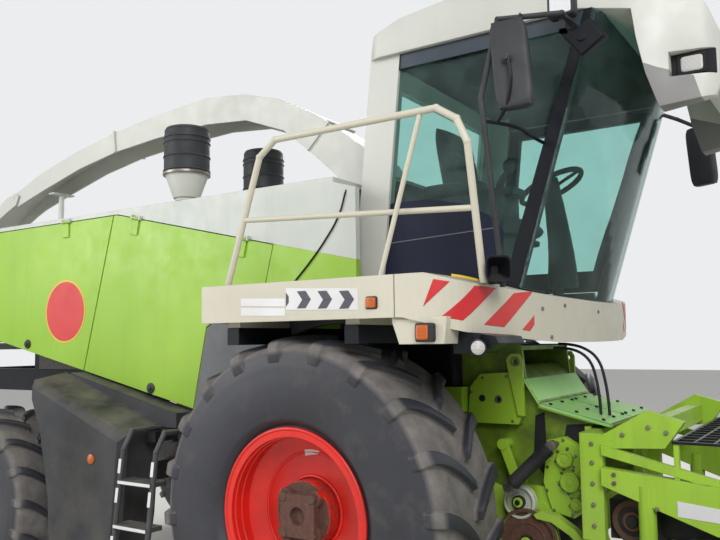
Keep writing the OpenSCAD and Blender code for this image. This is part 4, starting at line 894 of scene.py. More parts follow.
stripes, plates = (bothSides([film(q) for q in fasciaFilms[key]]) for key in ("stripes", "plates"))
newMesh("fascia_stripes", stripes, redFilm, "chassis")
newMesh("fascia_plates", plates, whiteFilm, "chassis")
arrows = [half for place in arrow["places"] for half in arrowOn(*place)]
arrows.append(film(fasciaFilms["half arrow"], arrow["proud"]))
newMesh("fascia_arrows", bothSides(arrows), darkFilm, "chassis")
newMesh("fascia_yellow_strip", film(fasciaFilms["yellow"]), yellowFilm, "chassis")
screws = boltHeads(onFascia(*np.array(fasciaFilms["screws"]).T, 0.0), (1, -0.25, 0), 0.022, 0.005)
newMesh("fascia_screws", screws, greyPlastic, "chassis")
print("fascia dressed")


# cab: the moulded roof, mirrors, lamps, horn and what shows inside

roof = {
    "bevel": 0.022, "bevel from": 28, "sharp": 38,   # metres, degrees
    "hollow": [((1.46, -0.50, 2.70), (1.795, 0.50, 3.16)), ((1.78, -0.50, 2.70), (2.05, 0.50, 2.972))],
    # the visor's underside behind all three planes takes a darker grey as painted shade; each plane is a
    # point and a normal
    "lining": [((1.40, 0, 3.14), (0.37, 0, 0.93)), ((1.79, 0, 3.0), (0.97, 0, 0.26)),
               ((1.50, 0, 0), (-1, 0, 0))],
}


def mergeTriangles(bm):
    bmesh.ops.remove_doubles(bm, verts=bm.verts, dist=1e-5)
    bmesh.ops.dissolve_limit(bm, angle_limit=math.radians(1), verts=bm.verts, edges=bm.edges)


def shadeVisorUnderside(bm):
    # faces are cut where the lining's planes cross them, and those behind all the planes take the darker grey
    # of painted shade
    for point, normal in roof["lining"]:
        everything = bm.verts[:] + bm.edges[:] + bm.faces[:]
        place = np.add(point, axleAt).tolist()
        bmesh.ops.bisect_plane(bm, geom=everything, dist=1e-6, plane_co=place, plane_no=normal)
    for face in bm.faces:
        middle = np.array(face.calc_center_median()) - axleAt
        face.material_index = int(all((middle - point) @ normal < 0 for point, normal in roof["lining"]))


def makeRoof():
    # a merged copy of the roof's solid, the visor's underside hollowed between its two side lobes, and its
    # edges rounded, all written into the mesh
    mesh = nodes["cab_roof"].data.copy()
    edited(mesh, mergeTriangles)
    obj = linked("roof_shell", mesh)
    cutters = [linked("cutter", rawMesh("cutter", boxed(*corners))) for corners in roof["hollow"]]
    for cutter in cutters:
        cut = obj.modifiers.new("cut", "BOOLEAN")
        cut.object, cut.operation, cut.solver = cutter, "DIFFERENCE", "EXACT"
    soft = obj.modifiers.new("soft edges", "BEVEL")
    soft.width, soft.segments, soft.angle_limit = roof["bevel"], 3, math.radians(roof["bevel from"])
    soft.use_clamp_overlap = True
    finished = bpy.data.meshes.new_from_object(obj.evaluated_get(bpy.context.evaluated_depsgraph_get()))
    obj.modifiers.clear()
    obj.data = finished
    for cutter in cutters:
        bpy.data.objects.remove(cutter)
    finished.materials.clear()
    finished.materials.append(greyCream)
    # the second material is the painted shade under the visor
    finished.materials.append(visorUndersideShade)
    edited(finished, shadeVisorUnderside)
    shade(finished, roof["sharp"])
    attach(obj, "chassis")
    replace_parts(obj, "cab_roof")


makeRoof()

mirror = {   # metres from the axle: the lower end of each head, its lean and turn in degrees, and its size
    "feet": ((-1, 1.150, -1.200), (1, 1.530, 1.250)), "z": 2.784, "lean": -4, "turn": 12,
    "size": (0.168, 0.082, 0.412), "soft": 0.30,
    "knob": (1.133, -1.246, 3.005),
    "knob profile": [[0.001, 0], [0.024, 0], [0.022, 0.012], [0.014, 0.018], [0.012, 0.030], [0.001, 0.032]],
    "rod": 0.0085, "rods": (   # their radius, and each one's route with its count of points
        ([(1.003, -1.198, 2.752), (1.10, -1.07, 2.735), (1.120, -0.900, 2.718), (1.130, -0.812, 2.712)], 20),
        ([(1.143, -1.262, 3.005), (1.155, -1.265, 2.90), (1.120, -1.235, 2.80), (1.060, -1.190, 2.745)], 20),
        ([(1.335, -1.060, 3.220), (1.37, -1.03, 3.19), (1.400, -0.955, 3.130)], 12)),
}


def mirrorHeads():
    # a moulded shell round each mirror plate, turned and leant about its foot, and a knob on the right one
    w, d, h = mirror["size"]
    parts = []
    for side, x, y in mirror["feet"]:
        foot = np.array([x, y, mirror["z"]])
        shell = roundedBlock(foot + (-w / 2, -d / 2, 0), foot + (w / 2, d / 2, h), mirror["soft"])
        shell = turned(shell, foot, "Z", -side * mirror["turn"])
        parts.append(turned(shell, foot, "Y", mirror["lean"]))
    parts.append(revolved(mirror["knob profile"], mirror["knob"], (0.1, -1, 0), 20))
    return joined(parts)


newMesh("mirror_heads", mirrorHeads(), blackPlastic, "chassis", 50)

square = {   # the small mirror: its middle, its corners (x, z) on the plane y, and the raised part's share
    "middle": np.array([1.405, -0.995, 3.118]), "y": -1.0, "share": 0.86, "knob": (-0.006, -0.014, 0),
    "corners": [(1.311, 3.143), (1.396, 3.029), (1.512, 3.106), (1.44, 3.208)],
    "profile": [[0.001, 0], [0.020, 0], [0.017, 0.010], [0.001, 0.012]],
}
edge = np.array([(x, square["y"], z) for x, z in square["corners"]])
raised = square["middle"] + (edge - square["middle"]) * square["share"] - (0, 0.012, 0)
newMesh("square_mirror", joined([
    slab(edge, (-0.05, 0.999, 0.03), 0.045), slab(raised, (0, 1, 0), 0.03),
    revolved(square["profile"], square["middle"] + square["knob"], toRight, 18)]),
    bandBlack, "chassis", 40)
rods = [tubeAlong(smoothPath(points, count), mirror["rod"], 12) for points, count in mirror["rods"]]
newMesh("mirror_rods", joined(rods), bandBlack, "chassis", 60)

roofLamp = {   # housing, its stem and foot, and the lens in its front
    "housing": ((1.222, -0.955, 3.268), (1.352, -0.885, 3.382)),
    "stem": ((1.27, -0.93, 3.20), (1.30, -0.90, 3.275)), "foot": ((1.27, -0.93, 3.20), (1.30, -0.83, 3.215)),
    "lens": ((1.236, -0.959, 3.280), (1.338, -0.935, 3.370)),
}
newMesh("roof_lamp_housing", joined([
    roundedBlock(*roofLamp["housing"], 0.22), boxed(*roofLamp["stem"]), boxed(*roofLamp["foot"])]),
    blackPlastic, "chassis", 40)
newMesh("roof_lamp_lens", roundedBlock(*roofLamp["lens"], 0.2), clearLens, "chassis", 40)

hornSizes = {   # the mouth's squares: how far along the axis, and half their width
    "centre": np.array([1.000, -1.175, 2.066]), "axis": (0.62, -0.78, -0.05), "power": 0.45,
    "along": np.array([0, 0.03, 0.055, 0.10, 0.112, 0.112, 0.100, 0.04]),
    "half": np.array([0.022, 0.024, 0.030, 0.056, 0.060, 0.052, 0.048, 0.016]),
    "driver": [[0.001, -0.055], [0.038, -0.055], [0.042, -0.03], [0.042, 0.0], [0.024, 0.012],
               [0.001, 0.012]],
    "bracket": ((-0.014, -0.014, -0.066), (0.014, 0.014, 0.0)),
}


def horn():
    # a flared mouth on a round driver: squares with rounded corners that grow along the axis
    centre, axis = hornSizes["centre"], hornSizes["axis"]
    m = turnTo(axis)
    ring = signedPower(aroundCircle(32), hornSizes["power"]) @ m[:, :2].T
    points = centre + hornSizes["along"][:, None, None] * m[:, 2]
    points = points + hornSizes["half"][:, None, None] * ring[None]
    faces = gridFaces(8, 32, closedCols=True) + endFaces(32, 7 * 32)
    bracket = boxed(*(centre + corner for corner in hornSizes["bracket"]))
    return joined([(points.reshape(-1, 3), faces), revolved(hornSizes["driver"], centre, axis, 28), bracket])


newMesh("horn", horn(), bandBlack, "chassis", 40)

pane = {   # (x, z) on the right side pane: a navy sheet inside it that paints the shade of the cab's inside, its seam and the black-printed band along the top
    "film": [(0.236, 2.508), (0.469, 2.507), (0.705, 2.454), (0.830, 2.380), (0.905, 2.290), (0.860, 2.085),
             (0.192, 2.085)],
    "seam": [(0.215, 2.290), (0.86, 2.320), (0.86, 2.315), (0.215, 2.285)],
    "shade sheet y": -0.7895, "seam y": -0.7907, "band y": -0.8095,
    "band": [(0.330, 3.252), (0.339, 3.3345), (1.356235, 3.3345), (1.330, 3.252)],
}
# a dark sheet behind the glass, as painted shade of the cab's inside
newMesh("pane_inside_shade", sidePlate(pane["film"], pane["shade sheet y"], 0.0012), cabInsideShade, "chassis")
newMesh("pane_seam", sidePlate(pane["seam"], pane["seam y"], 0.0008), greyPlastic, "chassis")

joystick = {   # its stem with a radius at each end, and the blocks of its knob, console and arm rest
    "stem": [(0.735, -0.45, 2.545), (0.745, -0.45, 2.606), (0.770, -0.45, 2.650), (0.795, -0.45, 2.675)],
    "radii": (0.026, 0.013),
    "blocks": (((0.768, -0.482, 2.665), (0.842, -0.418, 2.742), 0.8),
               ((0.66, -0.53, 2.530), (0.86, -0.34, 2.580), 0.3),
               ((0.30, -0.55, 2.560), (0.66, -0.38, 2.640), 0.35)),
}
stem = tubeAlong(smoothPath(joystick["stem"], 14), np.linspace(*joystick["radii"], 14), 14)
newMesh("joystick", joined([stem] + [roundedBlock(*block) for block in joystick["blocks"]]),
        blackPlastic, "chassis", 50)
column = {   # the steering column's cover: its path, and its radii at shares of the length
    "path": [(0.93, 0.0, 2.045), (0.925, 0.0, 2.25), (0.905, 0.0, 2.45), (0.884, 0.0, 2.62),
             (0.878, 0.0, 2.70)],
    "radii": ([0, 0.35, 0.7, 1], [0.090, 0.068, 0.052, 0.042]),
}
shroud = tubeAlong(smoothPath(column["path"], 24), np.interp(np.linspace(0, 1, 24), *column["radii"]), 24)
newMesh("column_cover", shroud, blackPlastic, "chassis", 60)
print("cab dressed")


# air cleaners and doors

cleaner = {   # metres: place, cap's radius, its bands' heights, and the profiles (r, h) of the parts
    "x": -1.650, "y": (-0.500, 0.350), "deck": 2.670, "r": 0.160, "bands": (0.318, 0.418, 0.520, 0.556),
    "cap top": [[0.158, 0.616], [0.140, 0.634], [0.001, 0.636]],
    "bowl": [[0.001, 0.10], [0.080, 0.10], [0.082, 0.118], [0.094, 0.122], [0.154, 0.290], [0.154, 0.298],
             [0.001, 0.298]],
    "clamp": [[0.150, 0.286], [0.169, 0.286], [0.171, 0.296], [0.169, 0.306], [0.150, 0.306]],
}


def cleanerCap():
    # the cap's profile: its radius plus bands as flat-topped bell curves, drawn in by a square near the top
    h = np.linspace(0.300, 0.606, 60)
    band = sum(np.exp(-((h - at) / 0.006) ** 4) for at in cleaner["bands"])
    r = cleaner["r"] + 0.003 + 0.006 * np.clip(band, 0, 1) - 0.012 * np.clip((h - 0.56) / 0.05, 0, 1) ** 2
    foot = [[0.001, 0.295], [cleaner["r"] + 0.002, 0.295]]
    return foot + np.stack([r, h], -1).tolist() + cleaner["cap top"]


def onDeck(profile, segments, loop=False):
    # a turned part on both air cleaners
    return joined([revolved(profile, (cleaner["x"], y, cleaner["deck"]), upwards, segments, loop)
                   for y in cleaner["y"]])


newMesh("cleaner_caps", onDeck(cleanerCap(), 64), blackPlastic, "chassis", 30)
newMesh("cleaner_bowls", onDeck(cleaner["bowl"], 56), greyCream, "chassis", 30)
newMesh("cleaner_clamps", onDeck(cleaner["clamp"], 64, True), wornSteel, "chassis", 40)

latch = {
    "front": (-1.497, 1.468), "rear": (-2.833, 1.764), "y": 0.950,
    "profile": [[0.001, -0.004], [0.034, -0.004], [0.034, 0.006], [0.028, 0.012], [0.016, 0.013],
                [0.014, 0.024], [0.001, 0.025]],
}
for side, letter in ((-1, "r"), (1, "l")):
    for end in ("front", "rear"):
        x, z = latch[end]
        body = "door_" + end[0] + letter
        knob = revolved(latch["profile"], (x, side * latch["y"], z), (0, side, 0), 28)
        newMesh("latch_" + body, knob, blackPlastic, body, 40)

badge = {"x": -2.400, "z": 1.993, "y": -0.9502, "r": 0.226, "edge": 0.014}


def disc(radius, thickness):
    # a round plate on the right rear door
    ring = aroundCircle(72) * radius
    return sidePlate([(badge["x"] + x, badge["z"] + z) for x, z in ring], badge["y"], thickness)


newMesh("badge_edge", disc(badge["r"], 0.0012), yellowFilm, "door_rr", 60)
newMesh("badge", disc(badge["r"] - badge["edge"], 0.0020), redFilm, "door_rr", 60)
print("air cleaners and doors dressed")


# chopper housing, gearbox and header

cover = {   # (x, z) at both ends of the steep and the flat sheet, half their width and half the seam's
    "steep": ((0.842, 1.5362), (0.918, 1.4155)), "flat": ((0.925, 1.4075), (1.290, 1.3160)), "half": 0.424,
    "seam": 0.010, "thick": 0.003, "gap": 0.0005, "lip": 0.016, "lip y": -0.0065,
    "upwards": (0.243, 0, 0.970),   # the flat sheet's normal, for its bolts
    # bolts across the flat sheets, and as shares of their length
    "bolts across": (-0.390, -0.205, -0.035, 0.035, 0.205, 0.390), "bolts along": (0.12, 0.5, 0.88),
}


def mintCovers():
    # thin folded sheets on the covers: an outline in the plane of each, raised by its thickness along the
    # plane's normal (-dz, dx), with a turned-down lip
    half, seam = cover["half"], cover["seam"]
    parts = []
    for sheet, y0, y1 in (("steep", -half, half), ("flat", -half, -seam), ("flat", seam, half)):
        (x0, z0), (x1, z1) = cover[sheet]
        along = np.array([x1 - x0, 0, z1 - z0])
        up = np.array([-along[2], 0, along[0]]) / np.linalg.norm(along)
        base = np.array([(x0, y0, z0), (x1, y0, z1), (x1, y1, z1), (x0, y1, z0)])
        parts.append(slab(base + up * cover["gap"], up, cover["thick"]))
        lip = [(x0, z0), (x1, z1), (x1, z1 - cover["lip"]), (x0, z0 - cover["lip"])]
        parts.append(sidePlate(lip, y0 + cover["lip y"], cover["thick"]))
    return joined(parts)


def coverBolts():
    # heads square to the flat sheets, at shares of their length
    (x0, z0), (x1, z1) = cover["flat"]
    places = [(x0 + (x1 - x0) * u, y, z0 + (z1 - z0) * u + 0.004)
              for y in cover["bolts across"] for u in cover["bolts along"]]
    return boltHeads(places, cover["upwards"], 0.020, 0.009)


newMesh("mint_covers", mintCovers(), mintPaint, "header")
newMesh("cover_bolts", coverBolts(), bandBlack, "header")

gear = {   # the round covers (x, z, radius), their face and the plate's, and the plate's bolts (x, z)
    "covers": [(1.054, 1.128, 0.042), (1.078, 1.014, 0.050), (1.110, 0.905, 0.030)],
    "y": -0.456, "plate": -0.430,
    "edge": [(0.965, 1.205), (1.045, 1.225), (1.140, 1.165), (1.143, 1.060), (1.143, 0.960), (1.140, 0.890),
             (1.080, 0.845), (0.985, 0.862), (0.950, 0.960), (0.955, 1.080)],
}


def gearCovers():
    # a turned rim and a raised button on each cover
    parts = []
    for x, z, r in gear["covers"]:
        at = (x, gear["y"], z)
        rim = [[r - 0.012, -0.001], [r - 0.010, 0.004], [r - 0.002, 0.004], [r + 0.002, -0.002],
               [r - 0.004, -0.002]]
        button = [[0.001, -0.001], [r * 0.42, -0.001], [r * 0.40, 0.003], [0.001, 0.004]]
        parts += [revolved(rim, at, toRight, 40, True), revolved(button, at, toRight, 32)]
    return joined(parts)


def gearBolts():
    # six bolts round each cover, 13 mm outside its radius, and those along the plate's edge
    places = []
    for x, z, r in gear["covers"]:
        places += onCircle(np.array([x, gear["plate"], z]), r + 0.013, np.arange(6) * np.pi / 3 + 0.3)
    places += [(x, gear["plate"], z) for x, z in gear["edge"]]
    return boltHeads(places, toRight, 0.017, 0.008)


newMesh("gear_covers", gearCovers(), gearLime, "header", 40)
newMesh("gear_bolts", gearBolts(), wornSteel, "header")

pulleys = (   # metres: axis x and z, radius, outer face y, and how the rim is finished
    (0.809, 0.894, 0.087, -0.476, greyCream, "cream_paint"),
    (0.851, 0.698, 0.165, -0.490, rustyIron, "rusty_steel"),
)
hubNut = [[0.001, 0.021], [0.014, 0.021], [0.013, 0.030], [0.001, 0.030]]
hubRing = [[0.0265, -0.010], [0.034, -0.010], [0.034, 0.014], [0.0265, 0.014]]


def pulleyFace(at, r):
    # the grooved rim and the pressed web, each a closed profile turned about the axis
    rim = [[r - 0.014, 0.001], [r - 0.012, 0.006], [r - 0.002, 0.006], [r + 0.003, 0.000],
           [r + 0.003, -0.008], [r - 0.010, -0.020], [r + 0.003, -0.031], [r + 0.003, -0.036],
           [r - 0.014, -0.036]]
    web = [[0.028, -0.013], [r * 0.52, -0.013], [r * 0.54, -0.009], [r * 0.58, -0.009], [r * 0.60, -0.013],
           [r - 0.016, -0.013], [r - 0.016, -0.020], [0.028, -0.020]]
    return joined([revolved(profile, at, toRight, 72, True) for profile in (rim, web)])


for number, (x, z, radius, y, paint, slotName) in enumerate(pulleys):
    newMesh("pulley_face_%d" % number, pulleyFace((x, y, z), radius), paint, "header", 40)
    hub = [revolved(hubNut, (x, y, z), toRight, 18), revolved(hubRing, (x, y, z), toRight, 36, True)]
    newMesh("pulley_hub_%d" % number, joined(hub), bandBlack, "header", 40)

damper = {   # the middles of its two eyes, and the profiles of an eye and a pin
    "foot": np.array([0.800, -0.585, 0.988]), "head": np.array([1.012, -0.520, 1.205]),
    "eye": [[0.001, -0.02], [0.026, -0.02], [0.026, 0.02], [0.001, 0.02]],
    "pin": [[0.001, 0], [0.012, 0], [0.012, 0.10], [0.001, 0.10]],
}


def damperBarrel():
    # a rubber-covered cylinder between the eyes: stepped radii along its line
    axis = damper["head"] - damper["foot"]
    long = np.linalg.norm(axis)
    profile = [[0.001, 0.0], [0.022, 0.0], [0.022, 0.02], [0.036, 0.024], [0.038, 0.05], [0.036, 0.055],
               [0.036, long - 0.05], [0.038, long - 0.045], [0.036, long - 0.02], [0.016, long - 0.018],
               [0.016, long], [0.001, long]]
    return revolved(profile, damper["foot"], axis, 28)


newMesh("damper", damperBarrel(), softRubber, "header", 40)
eyes = [revolved(damper["eye"], damper[end], (0, 1, 0), 24) for end in ("foot", "head")]
pins = [revolved(damper["pin"], damper[end] - (0, 0.01, 0), (0, 1, 0), 16) for end in ("foot", "head")]
newMesh("damper_eyes", joined(eyes + pins), wornSteel, "header", 40)

housing = {   # (x, z) on the housing's side: openings, holes with their radius, rings and bolts; the openings and holes are filled with black sheets as painted shade
    "openings": [
        [(1.035, 1.228), (1.050, 1.300), (1.165, 1.306), (1.188, 1.180), (1.165, 1.155)],
        [(0.470, 1.060), (0.470, 1.270), (0.500, 1.275), (0.500, 1.060)],
        [(0.862, 1.10), (0.880, 1.34), (0.930, 1.36), (0.935, 1.24), (0.925, 1.02)]],
    "deep y": -0.3812, "sheet y": -0.4312, "holes": ((0.592, 1.428, 0.019), (0.690, 1.424, 0.014)),
    "bolts": ((0.53, 1.31), (0.53, 1.46), (0.77, 1.31), (0.60, 1.54), (0.74, 1.55)),
    "hinge": (0.797, -0.444, 1.630), "hinge ring": [[0.0175, 0], [0.028, 0], [0.026, 0.005], [0.019, 0.005]],
    "hole ring": [[0.010, 0], [0.022, 0], [0.020, 0.004], [0.012, 0.004]], "ring at": (0.690, -0.4312, 1.424),
}
# black sheets in the openings: painted shade in the gaps
openings = [sidePlate(outline, housing["deep y"], 0.002) for outline in housing["openings"]]
newMesh("housing_opening_shade", joined(openings), softRubber, "header")
# black discs in the holes: painted shade inside them
holes = []
for x, z, radius in housing["holes"]:
    profile = [[0.001, 0], [radius, 0], [radius, 0.0012], [0.001, 0.0012]]
    holes.append(revolved(profile, (x, housing["sheet y"] + 0.001, z), toRight, 24))
newMesh("sheet_hole_shade", joined(holes), softRubber, "header")
newMesh("housing_bolts", joined([
    revolved(housing["hinge ring"], housing["hinge"], toRight, 28, True),
    revolved(housing["hole ring"], housing["ring at"], toRight, 24, True),
    boltHeads([(x, housing["sheet y"], z) for x, z in housing["bolts"]], toRight, 0.016, 0.007)]),
    wornSteel, "header", 40)

arms = {   # (x, z) on the header's right arm and on the side of its frame, and the levers on top
    "plate": [(1.640, 1.010), (1.885, 0.985), (1.885, 0.925), (1.640, 0.940)],
    "plate y": -0.6502, "arm y": -0.650,
    "arm": ((1.36, 1.105), (1.36, 1.065), (1.55, 0.965), (2.05, 1.02), (2.20, 0.95)),
    "frame y": -0.6205, "frame": ((1.250, 1.24), (1.250, 1.15), (1.250, 1.05), (1.250, 0.95), (1.250, 0.85),
                                  (1.40, 1.29), (1.52, 1.33), (1.60, 1.31)),
    "lever": [(1.545, -0.560, 1.262), (1.556, -0.566, 1.300), (1.570, -0.574, 1.340), (1.600, -0.560, 1.372)],
    "knob": ((1.525, -0.585, 1.245), (1.575, -0.535, 1.285)),
    "pipe": [(1.30, -0.50, 1.2785), (1.42, -0.48, 1.2795), (1.56, -0.40, 1.2870)],
}
newMesh("arm_plate", sidePlate(arms["plate"], arms["plate y"], filmThick), whiteFilm, "header")
places = [(x, arms["arm y"], z) for x, z in arms["arm"]] + [(x, arms["frame y"], z) for x, z in arms["frame"]]
newMesh("frame_bolts", boltHeads(places, toRight, 0.022, 0.009), wornSteel, "header")
newMesh("frame_levers", joined([
    tubeAlong(smoothPath(arms["lever"], 16), 0.009, 12), roundedBlock(*arms["knob"], 0.5),
    tubeAlong(smoothPath(arms["pipe"], 14), 0.010, 10)]), bandBlack, "header", 50)


def cordAlong(name, body, route, count, thick, segments):
    # a cord on its smooth route from the exit at the route's start, on the body given, if any
    line = smoothPath(route, count)
    cord = newMesh(name, tubeAlong(line, thick / 2, segments), softRubber, body, 60)
    return cord


hoses = {   # metres from the axle: from under the cab floor to the header, and where the bend starts and ends
    "thick": 0.016, "still until": (1.02, 0, 1.690), "carried from": (1.190, 0, 1.400),
    "routes": (
        [(0.930, -0.200, 1.700), (0.985, -0.200, 1.698), (1.050, -0.200, 1.686), (1.105, -0.200, 1.655),
         (1.142, -0.202, 1.604), (1.165, -0.210, 1.526), (1.182, -0.226, 1.437), (1.190, -0.236, 1.345)],
        [(0.930, -0.120, 1.722), (0.990, -0.120, 1.718), (1.060, -0.120, 1.702), (1.125, -0.122, 1.664),
         (1.168, -0.134, 1.606), (1.194, -0.152, 1.523), (1.212, -0.172, 1.434), (1.222, -0.186, 1.338)]),
}
for number, route in enumerate(hoses["routes"]):
    hose = cordAlong("header_hose_%d" % number, None, route, 80, hoses["thick"], 16)
    start, end = (tuple(np.add(hoses[key], axleAt).tolist()) for key in ("still until", "carried from"))
    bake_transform(hose)
print("housing and header dressed")


# lamps, tank and ladders

markers = {   # the lamp under the deck's corner and the one on its side: two corners and a softness of each
    "lenses": (((0.757, -1.468, 1.753), (0.818, -1.428, 1.819), 0.28),
               ((0.496, -1.466, 1.902), (0.548, -1.440, 1.950), 0.3)),
    "bases": (((0.750, -1.461, 1.744), (0.842, -1.430, 1.828), 0.25),
              ((0.490, -1.455, 1.896), (0.556, -1.440, 1.956), 0.3)),
}
lenses, bases = (bothSides([roundedBlock(*block) for block in markers[key]]) for key in ("lenses", "bases"))
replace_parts(newMesh("marker_lamps", lenses, amber, "chassis", 50), "lamps")
newMesh("marker_bases", bases, blackPlastic, "chassis", 50)

cornerLamp = {   # under the deck's right corner: a white lamp that faces forwards and out, on a tray
    "at": (0.990, -1.330, 1.716), "facing": (0.5, -0.85, 0),
    "bowl": [[0.001, -0.03], [0.030, -0.03], [0.036, 0.0], [0.038, 0.012], [0.034, 0.014], [0.001, 0.014]],
    "lens": [[0.001, 0.010], [0.033, 0.010], [0.028, 0.018], [0.001, 0.022]],
    "stem": ((0.975, -1.335, 1.716), (1.000, -1.310, 1.780)),
    "tray": [(0.846, 1.800), (1.060, 1.765), (1.075, 1.735), (0.960, 1.690), (0.860, 1.690)],
}
lens = revolved(cornerLamp["lens"], cornerLamp["at"], cornerLamp["facing"], 32)
newMesh("corner_lens", lens, smokedLens, "chassis", 50)
newMesh("corner_lamps", joined([
    revolved(cornerLamp["bowl"], cornerLamp["at"], cornerLamp["facing"], 32), boxed(*cornerLamp["stem"]),
    slab([(x, -1.300, z) for x, z in cornerLamp["tray"]], (0, 1, 0), 0.30)]),
    bandBlack, "chassis", 50)
tankLamp = [[0.001, -0.012], [0.030, -0.012], [0.030, 0.006], [0.022, 0.013], [0.001, 0.016]]
tankLamps = bothSides([revolved(tankLamp, (-1.567, -1.350, 1.064), toRight, 32)])
newMesh("tank_lamps", tankLamps, amber, "chassis", 40)

ladder = {"stiles": (-1.215, -0.945), "half": 0.011, "strips": ((1.02, 1.10), (0.86, 0.94), (0.60, 0.68)),
          "rungs": (0.480, 0.720, 0.960)}


def ladderY(z):
    # the outer face of the ladder at a height: it leans out by 80 mm over 680 mm
    return -1.400 - 0.080 * (1.150 - z) / 0.680


def ladderFilms():
    # white strips on the stiles and along the rungs' outer edges
    parts = []
    for x in ladder["stiles"]:
        x0, x1 = x - ladder["half"], x + ladder["half"]
        for z0, z1 in ladder["strips"]:
            y0, y1 = ladderY(z0) - 0.0165, ladderY(z1) - 0.0165
            strip = [(x0, y0, z0), (x1, y0, z0), (x1, y1, z1), (x0, y1, z1)]
            parts.append(slab(strip, toRight, filmThick))
    for z in ladder["rungs"]:
        low, high = (-1.213, ladderY(z) - 0.0205, z + 0.004), (-0.947, ladderY(z) - 0.018, z + 0.021)
        parts.append(boxed(low, high))
    return bothSides(parts)


newMesh("ladder_reflectors", ladderFilms(), whiteFilm, "chassis")
print("lamps, tank and ladders dressed")


# seat, cable over the deck panel, glass edge and the drive under the header's arms

seat = {   # metres: the cushion's corners; foot and top (x, z) of the back, half its width and its thickness
    "cushion": ((0.285, -0.235, 2.352), (0.755, 0.235, 2.478)), "cushion seams": (-0.45, 0.05, 0.55),
    "foot": (0.340, 2.480), "top": (0.235, 3.080), "half": 0.225, "thick": 0.105,
    "back seams": (-0.5, 0.0, 0.45),
    "folds": (0.150, 0.165, 0.148, 0.162, 0.145, 0.158, 0.140, 0.150, 0.138),   # radii of the bellows
    "fold": 0.035, "fold foot": 2.055,
    "pan": ((0.300, -0.215, 2.318), (0.740, 0.215, 2.356)), "side seams": (-0.62, 0.62),
}


def pad(origin, axes, size, seams, count=44):
    # a crowned closed pad: both faces bulge by ((1 - |u|^5)(1 - |v|^5))^0.45, its rim is drawn in, and sewn
    # channels are sunk into the top as bell curves
    along, across, up = axes
    u = np.linspace(-1, 1, count)
    u, v = np.meshgrid(u, u, indexing="ij")
    crown = ((1 - np.abs(u) ** 5) * (1 - np.abs(v) ** 5)) ** 0.45
    draw = 1 - 0.035 * (u ** 2) * (v ** 2)
    sewn = sum(np.exp(-((u - at) / 0.028) ** 2) for at in seams)
    sewn = sewn + sum(np.exp(-((v - at) / 0.028) ** 2) for at in seat["side seams"])
    top = size[2] * (0.5 + 0.5 * crown) - 0.009 * np.clip(sewn, 0, 1) * crown
    low = size[2] * (0.5 - 0.5 * crown)
    flat = origin + (u * draw)[..., None] * along * size[0] + (v * draw)[..., None] * across * size[1]
    points = np.concatenate([(flat + height[..., None] * up).reshape(-1, 3) for height in (top, low)])
    faces = gridFaces(count, count)
    n = count * count
    return points, faces + [[i + n for i in face[::-1]] for face in faces]


def weld(bm):
    # the rims of the two faces meet, so their doubles are merged and the faces turned outwards
    bmesh.ops.remove_doubles(bm, verts=bm.verts, dist=2e-4)
    turnOutwards(bm)


def seatPad(name, part):
    obj = newMesh(name, part, cloth, "chassis", 80)
    edited(obj.data, weld)
    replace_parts(obj, "seat")


def cushionPad():
    # the cushion lies flat: it starts at its underside, half as long and half as wide to each side
    low, high = np.array(seat["cushion"])
    under = (low + high) / 2 * (1, 1, 0) + (0, 0, low[2])
    return pad(under, np.eye(3), (high - low) / (2, 2, 1), seat["cushion seams"])


def backPad():
    # the back leans along the line from its foot to its top, and its thickness is centred on that line
    foot, top = (np.array([x, 0, z]) for x, z in (seat["foot"], seat["top"]))
    length = np.linalg.norm(top - foot)
    along = (top - foot) / length
    forwards = np.array([along[2], 0, -along[0]])
    behind = (foot + top) / 2 - forwards * seat["thick"] / 2
    size = (length / 2 - 0.004, seat["half"], seat["thick"])
    return pad(behind, (along, np.eye(3)[1], forwards), size, seat["back seams"])


seatPad("seat_cushion", cushionPad())
seatPad("seat_back", backPad())
folds = [[r, seat["fold foot"] + seat["fold"] * i] for i, r in enumerate(seat["folds"])]
bellows = joined([revolved(folds, (0.475, 0, 0), upwards, 40), roundedBlock(*seat["pan"], 0.25)])
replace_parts(newMesh("seat_bellows", bellows, softRubber, "chassis", 60), "seat")

cable = [   # from a grommet in the deck panel down over it, in metres from the front axle
    (0.049, -0.9490, 2.584), (0.041, -0.9540, 2.555), (0.014, -0.9556, 2.473), (-0.030, -0.9556, 2.395),
    (-0.085, -0.9556, 2.325), (-0.139, -0.9556, 2.263), (-0.215, -0.9556, 2.185), (-0.303, -0.9545, 2.103),
    (-0.345, -0.9480, 2.065)]
cordAlong("deck_cable", "chassis", cable, 110, 0.010, 14)
edgeBand = sidePlate(pane["band"], pane["band y"], 0.0018)
newMesh("pane_edge_band", edgeBand, printedGlass, "chassis")

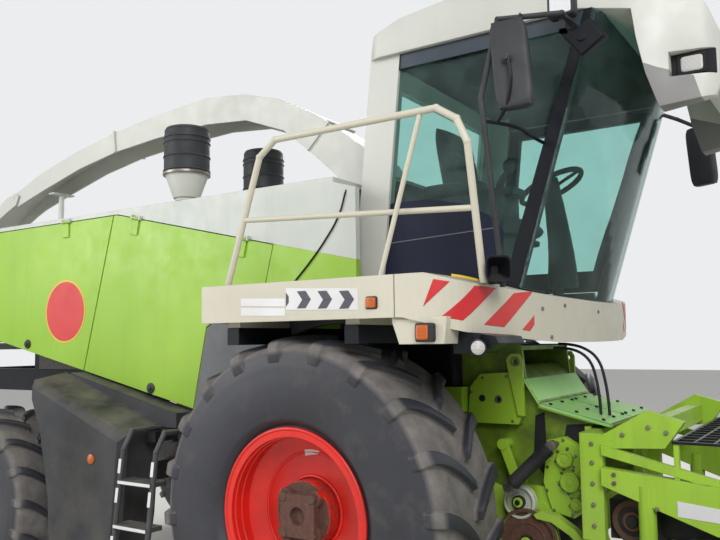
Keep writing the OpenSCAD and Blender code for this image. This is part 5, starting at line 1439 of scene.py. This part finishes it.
gearbox = {   # its axis, drum, body and shaft cover, and two rusty rings on its face
    "at": (1.409, -0.535, 0.872),
    "drum": [[0.001, -0.16], [0.105, -0.16], [0.112, -0.02], [0.100, 0.0], [0.030, 0.004], [0.026, 0.022],
             [0.001, 0.024]],
    "body": ((1.298, -0.520, 0.780), (1.560, -0.380, 0.965)),
    "shaft": ((1.52, -0.535, 0.80), (1.86, -0.36, 0.93)),
    "outer": [[0.070, 0.001], [0.072, 0.007], [0.096, 0.007], [0.099, 0.001]],
    "inner": [[0.030, 0.005], [0.030, 0.012], [0.046, 0.012], [0.046, 0.004]],
}
newMesh("header_gearbox", joined([
    revolved(gearbox["drum"], gearbox["at"], toRight, 48), boxed(*gearbox["body"]),
    roundedBlock(*gearbox["shaft"], 0.35)]), softRubber, "header", 40)
newMesh("gearbox_ring", joined([
    revolved(gearbox["outer"], gearbox["at"], toRight, 60, True),
    revolved(gearbox["inner"], gearbox["at"], toRight, 40, True)]), rustyIron, "header", 40)
print("seat, cable and header drive made")


# lamps in the visor, and the cab's inner lining

visor = {   # on the right: wells with their rims in the lobe and beside it, and the lenses
    "wells": (
        ((1.692, -0.548, 2.992), (1.888, -0.5205, 3.108)), ((1.720, -0.560, 3.000), (1.850, -0.545, 3.100)),
        ((1.8105, -0.328, 3.002), (1.832, -0.092, 3.108)), ((1.828, -0.312, 3.006), (1.840, -0.108, 3.104))),
    "lenses": (
        ((1.735, -0.566, 3.012), (1.835, -0.535, 3.088)), ((1.825, -0.300, 3.016), (1.848, -0.120, 3.094))),
}
wells = bothSides([boxed(*corners) for corners in visor["wells"]])
newMesh("visor_lamp_housings", wells, softRubber, "chassis")
lenses = bothSides([roundedBlock(*corners, 0.3) for corners in visor["lenses"]])
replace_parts(newMesh("visor_lenses", lenses, smokedLens, "chassis", 50), "work_lamps")
ceiling = [(0.215, -0.735, 3.3315), (0.215, 0.735, 3.3315), (1.42, 0.735, 3.3315), (1.42, -0.735, 3.3315)]
lining = [slab(ceiling, upwards, 0.004), boxed((0.100, -0.745, 2.055), (0.118, 0.745, 2.700))]
newMesh("cab_lining", joined(lining), softRubber, "chassis")
print("visor lamps and lining made")
